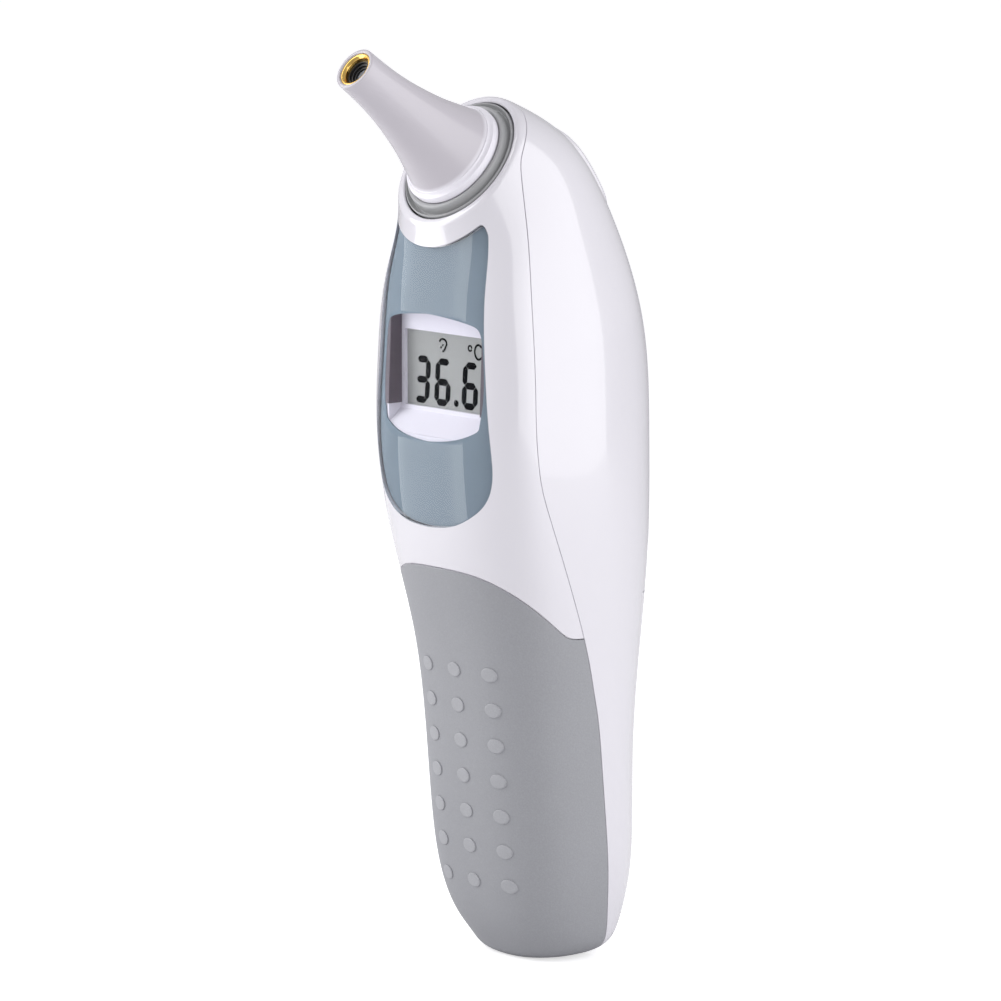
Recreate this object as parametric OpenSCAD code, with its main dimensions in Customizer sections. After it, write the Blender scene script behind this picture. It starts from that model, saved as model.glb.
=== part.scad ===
// Digital ear thermometer: a two-shell handheld body with a soft front grip, a display behind a
// curved cover, a tilted probe with a sprung release ring, and a sliding battery door.
// Millimetres. X = 0 is the plane of symmetry, the display faces -Y, +Z runs up the handle from
// the butt. The origin is at the butt end of the handle, on the handle's axis.

/* [Body] */
// Thickness of the two shells
wall = 2.2; // [1.8:0.1:2.6]
// Thickness of the soft grip moulded over the front shell
grip_t = 1.2; // [0.8:0.1:1.4]
// Height of the grip's top edge at the seam
grip_side_z = 55; // [50:1:60]
// Height of the grip's top edge on the front crown
grip_crown_z = 66.8; // [62:0.2:70]
// Diameter of a grip bump
bump_d = 2.7; // [1.5:0.1:3.5]
// Spacing of the grip's bump columns
bump_dx = 6.9; // [5:0.1:8]
// Spacing of the grip's bump rows
bump_dz = 5.9; // [4:0.1:7]

/* [Display] */
// Thickness of the clear display cover
lens_t = 1.3; // [1:0.1:1.6]
// Depth plane (Y) of the white floor around the display
well_y = -17.4; // [-18.5:0.1:-16.5]
// Width of the visible display
lcd_w = 21; // [18:0.5:23]
// Height of the visible display
lcd_h = 12.4; // [10:0.2:14]
// Height of the display's centre above the butt
lcd_z = 98.1; // [95:0.1:101]

/* [Probe] */
// Angle of the probe above the horizontal
probe_angle = 36; // [30:1:42]
// Length of the probe from the release ring's plane to its tip
probe_len = 26.7; // [24:0.1:30]
// Radius of the probe's tip
tip_r = 3.65; // [3.4:0.05:4]
// Radius of the seat that a disposable probe cover grips
seat_r = 8.9; // [8.7:0.05:9]
// Outer radius of the release ring
ring_r = 10.88; // [10.6:0.02:11]
// How far the release ring is pressed in
ring_travel = 1.5; // [1:0.1:2]

/* [Scan button] */
// Width of the button
button_w = 13; // [11:0.5:15]
// Length of the button along the back
button_len = 19; // [16:0.5:22]
// How far the button stands out of the back
button_proud = 0.6; // [0.4:0.1:0.9]

/* [Battery] */
// Diameter of one AAA cell
cell_d = 10.5; // [10.3:0.1:10.5]
// Length of one AAA cell with its nub
cell_len = 44.5; // [44:0.1:44.6]
// Half width of the battery door
door_half_w = 12.3; // [12:0.1:13]
// Height of the battery door's top edge
door_top_z = 60; // [58:0.5:61]

/* [Hidden] */

gap = 0.3;             // clearance between parts that move
far = 120;             // longer than the part's cross-section
collar_y = -14.93;     // centre of the release ring's plane
collar_z = 132.24;
rim_r = 12.4;          // radius of the body around the release ring
face_y = cos(90 - probe_angle);   // direction up the tilted face of the head
face_z = sin(90 - probe_angle);

// Sections of the body, from the butt to the head's tilted face.
// [front z, front y, back z, back y, half width, widest point, front fullness, back fullness]
stations = [
    [0,   -4.7,  0,   5.5, 6.6,  0.5,  2.3,  2.3],
    [0.8, -5.8,  0.8, 10,  10.3, 0.52, 2.4,  2.3],
    [3,   -7.2,  3,   12.3, 12.8, 0.58, 2.5,  2.3],
    [8,   -10.2, 8,   13.8, 14.6, 0.6,  2.7,  2.3],
    [18,  -12.5, 18,  15.6, 16.3, 0.54, 2.8,  2.3],
    [35,  -14.4, 35,  16.2, 16.5, 0.52, 2.8,  2.3],
    [53,  -16.7, 53,  19,   17,   0.4,  2.6,  2.3],
    [69,  -20.7, 69,  21.3, 18,   0.28, 2.3,  2.3],
    [85,  -22.7, 87,  21.7, 18.6, 0.2,  2.15, 2.3],
    [99,  -22.3, 106, 20.1, 18.2, 0.18, 2.15, 2.3],
    [110, -22.1, 124, 13,   16.6, 0.22, 2.15, 2.3],
    [117, -21.8, 136, 3.8,  14.6, 0.36, 2.1,  2.3],
    [collar_z - rim_r * face_z, collar_y - rim_r * face_y,
     collar_z + rim_r * face_z, collar_y + rim_r * face_y, rim_r, 0.5, 2, 2]];
slices_per_station = 2;
section_points = 36;
butt_h = 40;           // an inner surface is raised most at the butt, and not at all above here

// Parting line between the shells, seen from the side: [y, z]
seam = [[4.4, -3], [4.2, 3], [3.6, 14], [2.2, 27], [1, 39], [-0.4, 46], [-2.9, 55], [-8.1, 68],
        [-11.5, 76], [-13.3, 81], [-14.2, 86], [-14.6, 92], [-14.5, 102], [-14.1, 112],
        [-13.3, 122], [-13, 130], [-12.2, 133.7], [-9.9, 136.8], [-7.7, 139.5], [-6.2, 142],
        [-5.4, 146]];

// Right half of the display cover's outline below its concave top, seen from the front: [x, z]
cover_side = [[11.2, 121.4], [11.9, 114], [12.4, 104], [13.2, 94], [13.9, 86], [13.7, 81.5],
              [12.2, 78], [9, 75.4], [5, 73.8], [0, 73.3]];
cover_top_z = 118.6;   // lowest point of the concave top
cover_top_r = 14.5;    // its radius
// Right half of the clear window left in the cover's print: [x, z]
window_side = [[0, 107.9], [5, 107.2], [9, 106.3], [10.6, 105.2], [11.4, 102], [11.6, 97],
               [11.4, 93], [11, 89.3], [6, 87.9], [0, 87.4]];

// Outer profile of the probe beyond the cover seat: [distance from ring plane, radius]
probe_profile = [[2.9, 8.2], [3.3, 7.8], [6, 6.9], [9, 5.95], [12.5, 5.1], [16.5, 4.35],
                 [21, 3.85], [26.1, tip_r]];
seat_len = 1.3;        // length of the cover seat's cylinder
seat_end = 2.3;        // its outer end
ring_bore_r = 8.66;    // release ring's bore, running on the probe's base
base_r = 8.6;          // probe's base below the cover seat
base_low = -6.7 - ring_travel;    // top of the probe's mounting flange, under the ring's spring
bore_r = 11.15;        // opening in the head for the release ring
flange_r = 11.6;       // release ring's retaining flange
pocket_r = 12;         // pocket behind the head's face for that flange
pocket_depth = 2.6;    // thickness of the head's face
button_y = 9;          // point of the back that the button is centred on
button_z = 129.6;
button_tilt = 52.5;    // the button's outward direction, turned from +Z towards +Y
plunger_top = -6.4;    // where the button's stem meets the switch's plunger
tray_y = -1.5;         // front face of the battery tray
cell_x = 5.4;          // the two cells' axes
cell_y = 5.5;
cell_low_z = 8;        // lower end of the cell that stands nub down
spring_len = 2.8;      // length of a squeezed contact spring
board_y = -11.2;       // front face of the main board
board_t = 1.2;
well_outer_w = 24;     // outer width of the white well around the display
well_inner_w = 23;     // its inner width
screw_r = 1;
screw_x = 7.5;         // the two upper case screws
screw_z = 58.9;
butt_screw_z = 4.6;    // the lower one
post_x = 8.3;          // posts that carry the switch board

last = len(stations) - 1;
slice_count = last * slices_per_station;

// Catmull-Rom curve through a list of points, at parameter t
function mirrored_end(list, i) =
    i < 0 ? 2 * list[0] - list[1]
    : i > len(list) - 1 ? 2 * list[len(list) - 1] - list[len(list) - 2]
    : list[i];
function curve(list, t) =
    let (i = min(floor(t), len(list) - 2), f = t - i,
         a = mirrored_end(list, i - 1), b = list[i], c = list[i + 1],
         d = mirrored_end(list, i + 2))
    0.5 * (2 * b + (c - a) * f + (2 * a - 5 * b + 4 * c - d) * f * f
           + (3 * b - a - 3 * c + d) * f * f * f);
function smooth(list, steps) =
    [for (k = [0 : (len(list) - 1) * steps]) curve(list, k / steps)];
function signed_power(v, e) = sign(v) * pow(abs(v), e);

// Points of one body section, drawn in by inset
function section(t, inset) =
    let (q = curve(stations, t), run = q[3] - q[1], rise = q[2] - q[0],
         span = sqrt(run * run + rise * rise), mid = span * q[5], w = q[4] - inset)
    [for (k = [0 : section_points - 1])
        let (angle = 360 * k / section_points, c = cos(angle), s = sin(angle),
             e = 2 / (s < 0 ? q[6] : q[7]),
             v = mid + (s < 0 ? mid - inset : span - mid - inset) * signed_power(s, e),
             z = q[0] + rise / span * v)
        [w * signed_power(c, e), q[1] + run / span * v, z + inset * max(0, 1 - z / butt_h)]];

module body_solid(inset = 0) {
    for (k = [0 : slice_count - 1]) hull()
        polyhedron(
            points = concat(section(k / slices_per_station, inset),
                            section((k + 1) / slices_per_station, inset)),
            faces = [[for (i = [0 : section_points - 1]) i],
                     [for (i = [0 : section_points - 1]) i + section_points]]);
}

// The layer of the body between two depths below its surface
module skin(from, to) {
    difference() {
        body_solid(from);
        body_solid(to);
    }
}

// A side-view outline [y, z], extruded across the body
module across(outline, width = far) {
    rotate([90, 0, 90]) linear_extrude(width, center = true) polygon(outline);
}

// A front-view outline [x, z], extruded forwards from the plane y = from
module forwards(outline, from = -8, depth = 32) {
    translate([0, from, 0]) rotate([90, 0, 0]) linear_extrude(depth) polygon(outline);
}

// Box from one corner to the other
module block(low, high) {
    translate(low) cube(high - low);
}

// Places a child whose +Z is the probe's axis, with its origin at the ring plane's centre
module on_probe(along = 0) {
    translate([0, collar_y, collar_z]) rotate([90 - probe_angle, 0, 0])
        translate([0, 0, along]) children();
}

// Places a child whose +Z points out of the back through the scan button
module on_button(out = 0) {
    translate([0, button_y, button_z]) rotate([-button_tilt, 0, 0])
        translate([0, 0, out]) children();
}

module front_side() {
    across(concat([[-far, -5]], [[-far, 160]], [for (k = [len(seam) * 3 - 3 : -1 : 0])
        curve(seam, k / 3)]));
}

module back_side() {
    across(concat([[far, 160]], [[far, -5]], smooth(seam, 3)));
}

module grip_side() {
    across([[-far, -5], [-far, grip_crown_z], [-20.6, grip_crown_z], [-14.4, 62.2],
            [-7, 55.8], [-5.8, grip_side_z], [5, grip_side_z], [10, -5]]);
}

function cover_outline() =
    let (top = [for (a = [0 : 5]) let (x = 10.4 * (1 - a / 5))
                [x, cover_top_z + cover_top_r - sqrt(cover_top_r * cover_top_r - x * x)]],
         right = smooth(cover_side, 2))
    concat([for (p = top) [-p[0], p[1]]], [for (k = [len(top) - 2 : -1 : 0]) top[k]], right,
           [for (k = [len(right) - 2 : -1 : 0]) [-right[k][0], right[k][1]]]);

function window_outline() =
    let (right = smooth(window_side, 2))
    concat(right, [for (k = [len(right) - 2 : -1 : 1]) [-right[k][0], right[k][1]]]);

// The space behind the display cover that holds the well
module well_prism() {
    block([-well_outer_w / 2, -far, 86.3], [well_outer_w / 2, well_y + 0.6, 109.3]);
}

module cavity() {
    intersection() {
        body_solid(wall);
        on_probe(-pocket_depth - far) cylinder(r = far, h = far);
    }
}

module head_opening() {
    on_probe(-pocket_depth - 0.01) cylinder(r = bore_r, h = 10, $fn = 72);
    on_probe(-9) cylinder(r = pocket_r, h = 9 - pocket_depth, $fn = 72);
}

module button_outline(grow = 0) {
    hull() for (side = [-1, 1]) translate([0, side * (button_len - button_w) / 2])
        circle(r = button_w / 2 + grow, $fn = 40);
}

module screw_places() {
    for (x = [-screw_x, screw_x]) translate([x, 0, screw_z]) rotate([-90, 0, 0]) children();
    translate([0, 0, butt_screw_z]) rotate([-90, 0, 0]) children();
}

module front_shell() color("white") difference() {
    union() {
        intersection() {
            difference() {
                body_solid();
                cavity();
            }
            front_side();
        }
        intersection() {
            body_solid(grip_t + 0.3);
            union() {
                for (x = [-screw_x, screw_x])
                    translate([x, -20, screw_z]) rotate([-90, 0, 0])
                        cylinder(r = 2.2, h = 29.9, $fn = 24);
                translate([0, -10, butt_screw_z]) rotate([-90, 0, 0])
                    cylinder(r = 1.8, h = 15.9, $fn = 24);
            }
        }
    }
    intersection() {
        skin(-1, grip_t);
        grip_side();
    }
    intersection() {
        skin(-1, lens_t);
        forwards(cover_outline());
    }
    well_prism();
    head_opening();
    screw_places() translate([0, 0, 1]) cylinder(r = screw_r + 0.05, h = 20, $fn = 24);
}

module rear_shell() color("white") difference() {
    union() {
        difference() {
            intersection() {
                difference() {
                    body_solid();
                    cavity();
                }
                back_side();
            }
            block([-door_half_w - gap, 8 - gap, -1], [door_half_w + gap, far, door_top_z + gap]);
        }
        // rails behind the door's long edges
        intersection() {
            skin(1.9, 3.4);
            union() for (side = [-1, 1])
                block([side > 0 ? 11.3 : -13.6, 8.2, 4], [side > 0 ? 13.6 : -11.3, far, 57]);
        }
        // bulkhead and screw ledge above the cells
        intersection() {
            body_solid(1.5);
            union() {
                difference() {
                    block([-20, 9.9, door_top_z + 0.8], [20, far, door_top_z + 2.2]);
                    block([-4.5, 14, door_top_z], [4.5, far, door_top_z + 4]);
                }
                block([-12, 9.9, screw_z - 2.3], [12, 11.4, door_top_z + 2.2]);
                block([-9, 5.9, 0.5], [9, 7.4, 6.4]);
            }
        }
        // posts that carry the switch board
        intersection() {
            body_solid(1.5);
            for (x = [-post_x, post_x]) on_button(-9.7) translate([x, 0, 0])
                cylinder(r = 1.2, h = 20, $fn = 24);
        }
    }
    head_opening();
    on_button(-7) linear_extrude(12) button_outline(gap);
    screw_places() cylinder(r = screw_r + 0.15, h = 13, $fn = 24);
}

module grip_cover() color("darkgray") {
    intersection() {
        skin(0, grip_t);
        grip_side();
        front_side();
    }
    intersection() {
        body_solid(-0.35);
        for (col = [-1 : 1], row = [0 : 6])
            translate([col * bump_dx, 0, 14 + row * bump_dz]) rotate([90, 0, 0])
                cylinder(d = bump_d, h = 30, $fn = 16);
        difference() {
            body_solid(-0.35);
            body_solid(grip_t / 2);
        }
    }
}

module display_cover() color([0.75, 0.8, 0.85, 0.5]) intersection() {
    skin(0, lens_t - 0.2);
    forwards(cover_outline());
}

module cover_print() color("slategray") difference() {
    intersection() {
        skin(lens_t - 0.2, lens_t);
        forwards(cover_outline());
    }
    forwards(window_outline());
}

module display_well() color("ghostwhite") difference() {
    intersection() {
        body_solid(lens_t);
        well_prism();
    }
    across([[-far, 88], [-21, 88], [well_y, 91.2], [well_y, 107.6], [-far, 108.4]],
           well_inner_w);
    block([-lcd_w / 2, -far, lcd_z - lcd_h / 2], [lcd_w / 2, 0, lcd_z + lcd_h / 2]);
}

module light_seals() color("dimgray") intersection() {
    body_solid(lens_t);
    for (side = [-1, 1]) translate([side * (well_inner_w / 2 - 0.15), -50 + well_y, 99.6])
        cube([0.3, 100, 15], center = true);
}

module lcd_glass() color("silver")
    block([-12.5, well_y + 0.6, lcd_z - 8.5], [12.5, well_y + 3.2, lcd_z + 8.5]);

module lcd_holder() color("whitesmoke") difference() {
    block([-13.8, well_y + 0.8, lcd_z - 10], [13.8, board_y, lcd_z + 9.8]);
    block([-12.5, well_y, lcd_z - 8.5], [12.5, well_y + 3.2, lcd_z + 8.5]);
    block([-11.5, well_y + 3, lcd_z - 8.5], [11.5, board_y + 1, lcd_z + 7]);
}

module zebra_connector() color("hotpink")
    block([-11, well_y + 3.2, lcd_z - 8.4], [11, board_y, lcd_z - 6.4]);

module main_board() color("seagreen") difference() {
    block([-12, board_y, 62.4], [12, board_y + board_t, 116.5]);
    for (z = [65.4, 113.5]) translate([0, board_y - 1, z]) rotate([-90, 0, 0])
        cylinder(r = 1.2, h = board_t + 2, $fn = 24);
}

module processor() color("black")
    block([-3.5, board_y + board_t, 84], [3.5, board_y + board_t + 1.2, 91]);

module board_parts() color("darkkhaki") {
    for (x = [-9, -6.5, 6.5, 9], z = [80, 87, 94])
        block([x - 0.6, board_y + board_t, z], [x + 0.6, board_y + board_t + 0.7, z + 2]);
    block([-4, board_y + board_t, 96], [4, board_y + board_t + 1.5, 99.2]);
}

module buzzer() color("black")
    translate([0, board_y + board_t, 73.5]) rotate([-90, 0, 0]) difference() {
        cylinder(r = 6, h = 3, $fn = 48);
        translate([0, 0, 1]) cylinder(r = 1, h = 3, $fn = 24);
    }

module probe_nozzle() color("lightgray") on_probe() rotate_extrude($fn = 96)
    polygon(concat(
        [[7.2, base_low - 1], [11.4, base_low - 1], [11.4, base_low], [base_r, base_low],
         [base_r, seat_end - seat_len],
         [seat_r, seat_end - seat_len], [seat_r, seat_end]],
        [for (p = smooth(probe_profile, 3)) [p[1], p[0]]],
        [[tip_r - 0.15, probe_len - 0.2], [tip_r - 0.5, probe_len], [2.95, probe_len],
         [2.95, 17], [3.3, 12], [6, 3], [7.2, 0.5]]));

module waveguide_sleeve() color("gold") on_probe() rotate_extrude($fn = 72)
    polygon([[2.25, 17.2], [2.93, 17.2], [2.93, probe_len - 0.25], [2.5, probe_len - 0.25],
             [2.25, probe_len - 0.7]]);

module tip_baffle() color("black") on_probe() rotate_extrude($fn = 60)
    polygon([[1.2, 24.4], [2.24, 24.4], [2.24, 25.5], [1.9, 25.5], [1.9, 25.1], [1.55, 25.1],
             [1.55, 24.75], [1.2, 24.75]]);

module sensor_window() color("lightsteelblue") on_probe(23.9)
    cylinder(r = 2.1, h = 0.5, $fn = 48);

module thermopile_can() color("silver") on_probe() rotate_extrude($fn = 60)
    polygon([[0, 20.6], [2.24, 20.6], [2.24, 21.2], [2, 21.2], [2, 23.9], [0, 23.9]]);

module sensor_leads() color("gold")
    for (x = [-0.9, 0.9], y = [-0.9, 0.9]) on_probe(-6)
        translate([x, y, 0]) cylinder(r = 0.2, h = 26.6, $fn = 16);

module sensor_board() color("seagreen") on_probe(-7) difference() {
    cylinder(r = 7, h = 1, $fn = 48);
    translate([0, 4.6, -1]) cylinder(r = 1, h = 3, $fn = 24);
}

// Flex strip between the sensor board and the top of the main board
module sensor_flex() color("orange")
    across([[-9.4, 127.2], [-6.8, 124.4], [-6.6, 120.6], [-8, 117.2], [-10, 116], [-10, 114.8],
            [-9.7, 114.8], [-9.7, 115.8], [-7.7, 117], [-6.3, 120.5], [-6.5, 124.5],
            [-9.2, 127.4]], 5);

module release_ring() color("gray") on_probe() rotate_extrude($fn = 96)
    polygon([[ring_bore_r, -4], [flange_r, -4], [flange_r, -3], [ring_r, -3], [ring_r, -0.1],
             [ring_r - 0.15, 0.15], [10.6, 0.1], [10.25, -0.25], [10, -0.3], [9.75, -0.1],
             [9.65, 0.3], [9.6, 0.75], [9.4, 0.9], [9.15, 0.85], [ring_bore_r, 0.6]]);

module ring_spring() color("lightgray")
    for (turn = [0 : 2]) on_probe(base_low + 0.5 + turn * 1.6) rotate_extrude($fn = 60)
        translate([10.1, 0]) circle(r = 0.3, $fn = 16);

module scan_button() color("white") {
    intersection() {
        skin(-button_proud, 1.2);
        on_button(-6) linear_extrude(12) button_outline();
    }
    on_button(plunger_top) cylinder(r = 2, h = 5.4, $fn = 32);
}

module switch_plunger() color("black")
    on_button(plunger_top - 1.6) cylinder(r = 1.25, h = 1.6, $fn = 32);

module tact_switch() color("dimgray") on_button(-9.7) difference() {
    translate([-3, -3, 0]) cube([6, 6, 2.4]);
    translate([0, 0, 0.6]) cylinder(r = 1.25 + gap, h = 3, $fn = 32);
}

module switch_board() color("seagreen")
    on_button(-10.7) translate([-9.6, -4.6, 0]) cube([19.2, 9.2, 1]);

// Flex strip between the switch board and the main board
module switch_flex() color("orange")
    across([[-0.2, 117.5], [-2, 114.6], [-6, 112.4], [-10, 110.3], [-10, 109], [-9.7, 109],
            [-9.7, 110], [-5.8, 112.1], [-1.7, 114.4], [0.1, 117.2]], 4);

module battery_tray() color("white") difference() {
    intersection() {
        body_solid(wall + 0.2);
        block([-12.2, tray_y, 6.5], [12.2, 8, 56.5]);
    }
    block([-11, tray_y + 1.3, cell_low_z - 0.4], [11, far, 55.7]);
}

module battery_cells() color("forestgreen") {
    for (side = [-1, 1])
        translate([side * cell_x, cell_y,
                   side > 0 ? cell_low_z + cell_len : cell_low_z + spring_len])
            rotate([side > 0 ? 180 : 0, 0, 0]) {
                cylinder(d = cell_d, h = cell_len - 1, $fn = 60);
                translate([0, 0, cell_len - 1.1]) cylinder(d = 3.8, h = 1.1, $fn = 40);
            }
}

module contact_springs() color("silver")
    for (side = [-1, 1], turn = [0 : 2])
        translate([side * cell_x, cell_y, side > 0 ? cell_low_z + cell_len + 0.3 + turn * 1.1
                   : cell_low_z + 0.3 + turn * 1.1])
            rotate_extrude($fn = 40) translate([3.4 - (side > 0 ? 2 - turn : turn) * 0.5, 0])
                circle(r = 0.3, $fn = 16);

module contact_plates() color("silver") {
    block([-10.2, 1, cell_low_z - 0.4], [10.2, 8.4, cell_low_z]);
    for (side = [-1, 1])
        block([side > 0 ? 0.8 : -10.2, 1, 55.3], [side > 0 ? 10.2 : -0.8, 9.6, 55.7]);
}

module battery_leads() color("firebrick")
    for (x = [-3, 3]) {
        translate([x, -8.6, 59.9]) cylinder(r = 0.6, h = 6, $fn = 16);
        translate([x, -9.2, 59.3]) rotate([-90, 0, 0]) cylinder(r = 0.6, h = 12, $fn = 16);
    }

module battery_door() color("white") {
    intersection() {
        skin(0, 1.6);
        block([-door_half_w, 8, -1], [door_half_w, far, door_top_z]);
    }
    // latch tongue that hooks behind the rear shell
    intersection() {
        skin(1.4, 3.4);
        block([-4, 10, door_top_z - 2.4], [4, far, door_top_z - 0.3]);
    }
    intersection() {
        skin(2.5, 3.4);
        block([-4, 10, door_top_z - 2.4], [4, far, door_top_z + 2.4]);
    }
}

module case_screws() color("silver") {
    for (x = [-screw_x, screw_x]) translate([x, 11.4, screw_z]) rotate([90, 0, 0]) screw();
    translate([0, 7.4, butt_screw_z]) rotate([90, 0, 0]) screw();
}

module screw() {
    translate([0, 0, -1.2]) cylinder(r = 1.8, h = 1.2, $fn = 32);
    cylinder(r = screw_r, h = 6.4, $fn = 24);
}

front_shell();
rear_shell();
grip_cover();
display_cover();
cover_print();
display_well();
light_seals();
lcd_glass();
lcd_holder();
zebra_connector();
main_board();
processor();
board_parts();
buzzer();
probe_nozzle();
waveguide_sleeve();
tip_baffle();
sensor_window();
thermopile_can();
sensor_leads();
sensor_board();
sensor_flex();
release_ring();
ring_spring();
scan_button();
switch_plunger();
tact_switch();
switch_board();
switch_flex();
battery_tray();
battery_cells();
contact_springs();
contact_plates();
battery_leads();
battery_door();
case_screws();
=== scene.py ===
"""Digital ear thermometer: its moulded, printed and metal surfaces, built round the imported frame,
with a pale studio and a camera. Metres; the display faces -Y and the handle stands along +Z."""

import math

import bmesh
import bpy
import numpy as np
from mathutils import Matrix, Vector


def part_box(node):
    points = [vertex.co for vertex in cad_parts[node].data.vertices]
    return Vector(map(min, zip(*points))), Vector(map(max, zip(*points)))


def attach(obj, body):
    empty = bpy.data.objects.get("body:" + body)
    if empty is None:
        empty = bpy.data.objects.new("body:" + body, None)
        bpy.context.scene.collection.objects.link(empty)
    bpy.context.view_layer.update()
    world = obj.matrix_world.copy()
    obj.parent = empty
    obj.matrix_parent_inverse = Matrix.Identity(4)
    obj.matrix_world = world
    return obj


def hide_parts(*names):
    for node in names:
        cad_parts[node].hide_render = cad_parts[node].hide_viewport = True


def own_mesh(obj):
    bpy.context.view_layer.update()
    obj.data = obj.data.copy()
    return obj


bl_info = {
    "name": "Ear Thermometer",
    "version": (1, 0, 0),
    "blender": (4, 5, 0),
    "location": "View3D > Sidebar > Thermometer",
    "description": "Builds a digital ear thermometer's surfaces and studio around its packed frame",
    "category": "Add Mesh",
}

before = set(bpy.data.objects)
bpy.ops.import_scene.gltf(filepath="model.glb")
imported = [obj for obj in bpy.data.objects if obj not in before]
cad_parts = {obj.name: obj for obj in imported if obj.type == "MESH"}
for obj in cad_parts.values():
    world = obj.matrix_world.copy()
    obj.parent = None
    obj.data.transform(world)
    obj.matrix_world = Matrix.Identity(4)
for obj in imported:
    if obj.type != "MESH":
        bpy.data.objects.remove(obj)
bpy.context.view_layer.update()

MM = 0.001
BUTT_RISE = 40 * MM  # an inner surface is raised most at the butt, and not at all above here

# Sections of the body, from the butt to the head's tilted face:
# front z, front y, back z, back y, half width (mm), widest point, front fullness, back fullness
STATIONS = np.array([
    [0, -4.7, 0, 5.5, 6.6, 0.5, 2.3, 2.3],
    [0.8, -5.8, 0.8, 10, 10.3, 0.52, 2.4, 2.3],
    [3, -7.2, 3, 12.3, 12.8, 0.58, 2.5, 2.3],
    [8, -10.2, 8, 13.8, 14.6, 0.6, 2.7, 2.3],
    [18, -12.5, 18, 15.6, 16.3, 0.54, 2.8, 2.3],
    [35, -14.4, 35, 16.2, 16.5, 0.52, 2.8, 2.3],
    [53, -16.7, 53, 19, 17, 0.4, 2.6, 2.3],
    [69, -20.7, 69, 21.3, 18, 0.28, 2.3, 2.3],
    [85, -22.7, 87, 21.7, 18.6, 0.2, 2.15, 2.3],
    [99, -22.3, 106, 20.1, 18.2, 0.18, 2.15, 2.3],
    [110, -22.1, 124, 13, 16.6, 0.22, 2.15, 2.3],
    [117, -21.8, 136, 3.8, 14.6, 0.36, 2.1, 2.3],
    [122.21, -22.22, 142.27, -7.64, 12.4, 0.5, 2, 2],
]) * ([MM] * 5 + [1] * 3)
LAST = len(STATIONS) - 1

# Parting line between the shells, seen from the side: y, z
SEAM = np.array([
    [6.5, -3], [6.2, 0.4], [5.7, 3], [4.6, 8], [3.6, 14], [2.2, 27], [1, 39], [-0.4, 46],
    [-2.9, 55], [-8.1, 68], [-11.5, 76], [-13.3, 81], [-14.2, 86], [-14.6, 92], [-14.5, 102],
    [-14.1, 112], [-13.3, 122], [-13, 130], [-12.2, 133.7], [-9.9, 136.8], [-7.7, 139.5],
    [-6.2, 142], [-5.4, 146],
]) * MM
# Top edge of the grip, seen from the side: y, z
GRIP_EDGE = np.array([
    [-26, 67.4], [-23, 67.2], [-20.3, 66.6], [-17.8, 65], [-14.5, 62.3], [-11, 59.3],
    [-7.9, 56.6], [-6, 55.4], [-3.4, 55], [1, 55], [5, 55],
]) * MM
# Right half of the display cover's outline below its concave top, seen from the front: x, z
COVER_SIDE = np.array([
    [11.2, 121.4], [11.9, 114], [12.4, 104], [13.2, 94], [13.9, 86], [13.7, 81.5], [12.2, 78],
    [9, 75.4], [5, 73.8], [0, 73.3],
]) * MM
COVER_WRAP, WINDOW_WRAP = 1.13, 1.085  # how much wider they are on the -X side
COVER_TOP = (118.6 * MM, 14.5 * MM, 10.4 * MM)  # lowest height, radius and half width
COVER_LEVEL = 97 * MM  # the height whose normals serve for the whole cover
# Right half of the clear window in the cover's print: x, z
WINDOW_SIDE = np.array([
    [0, 107.8], [5, 107.4], [9, 106.7], [10.7, 105.8], [11.4, 103], [11.8, 97], [11.6, 93],
    [11.2, 90.6], [10.3, 89.4], [6, 87.9], [0, 87.2],
]) * MM
# Outer profile of the probe beyond its cover seat: distance from the ring's plane, radius
PROBE_SIDE = np.array([
    [2.9, 8.2], [3.3, 7.8], [6, 6.9], [9, 5.95], [12.5, 5.1], [16.5, 4.35], [21, 3.85],
    [26.1, 3.65],
]) * MM
SKIRT_HIGHLIGHT_FADE = (2.8 * MM, 3.5 * MM)  # the probe's root is painted lighter, a painted highlight that fades in between these distances

RING_CENTRE = Vector((0, -14.93, 132.24)) * MM
PROBE_TILT = math.radians(54)  # the probe's axis, turned from +Z towards -Y
BUTTON_CENTRE = Vector((0, 9, 129.6)) * MM
BUTTON_TILT = math.radians(-52.5)
BUTTON_SIZE = (13 * MM, 19 * MM)
ON_PROBE = Matrix.Translation(RING_CENTRE) @ Matrix.Rotation(PROBE_TILT, 4, "X")
ON_BUTTON = Matrix.Translation(BUTTON_CENTRE) @ Matrix.Rotation(BUTTON_TILT, 4, "X")

# A plane inside the body whose X and Y are the object's X and Z, seen from the front
FROM_FRONT = Matrix.Translation((0, -10 * MM, 0)) @ Matrix.Rotation(math.radians(90), 4, "X")
# The same, seen from the back: its X is the object's -X
FROM_BACK = (Matrix.Translation((0, 4 * MM, 0)) @ Matrix.Rotation(math.pi, 4, "Z")
             @ Matrix.Rotation(math.radians(90), 4, "X"))

# Raised dots on the grip, in mm: middles of the columns, number of rows, lowest row and step
DOT_COLUMNS, DOT_ROWS, LOWEST_ROW, ROW_STEP = (-7.2, 0.1, 7.9), 7, 13.6, 5.94
RIDGE_HEIGHTS = (44, 46.4, 48.8, 51.2)  # thumb ridges on the battery door, in mm

# Closed parting gap with eased edges: across the line, out of the surface
GAP_SECTION = np.array([
    [0.14, 0.06], [0.055, -0.05], [0.04, -0.5], [-0.04, -0.5], [-0.055, -0.05], [-0.14, 0.06],
]) * MM
SEGMENTS = {"3": "abcdg", "6": "acdefg"}  # bars that are on in a figure
HALVINGS = 26  # steps of a search by halves, which then ends below a micrometre


# ---------------------------------------------------------------- settings


def length_setting(name, description, default):
    return bpy.props.FloatProperty(name=name, description=description, default=default,
                                   unit="LENGTH", precision=4)


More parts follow.
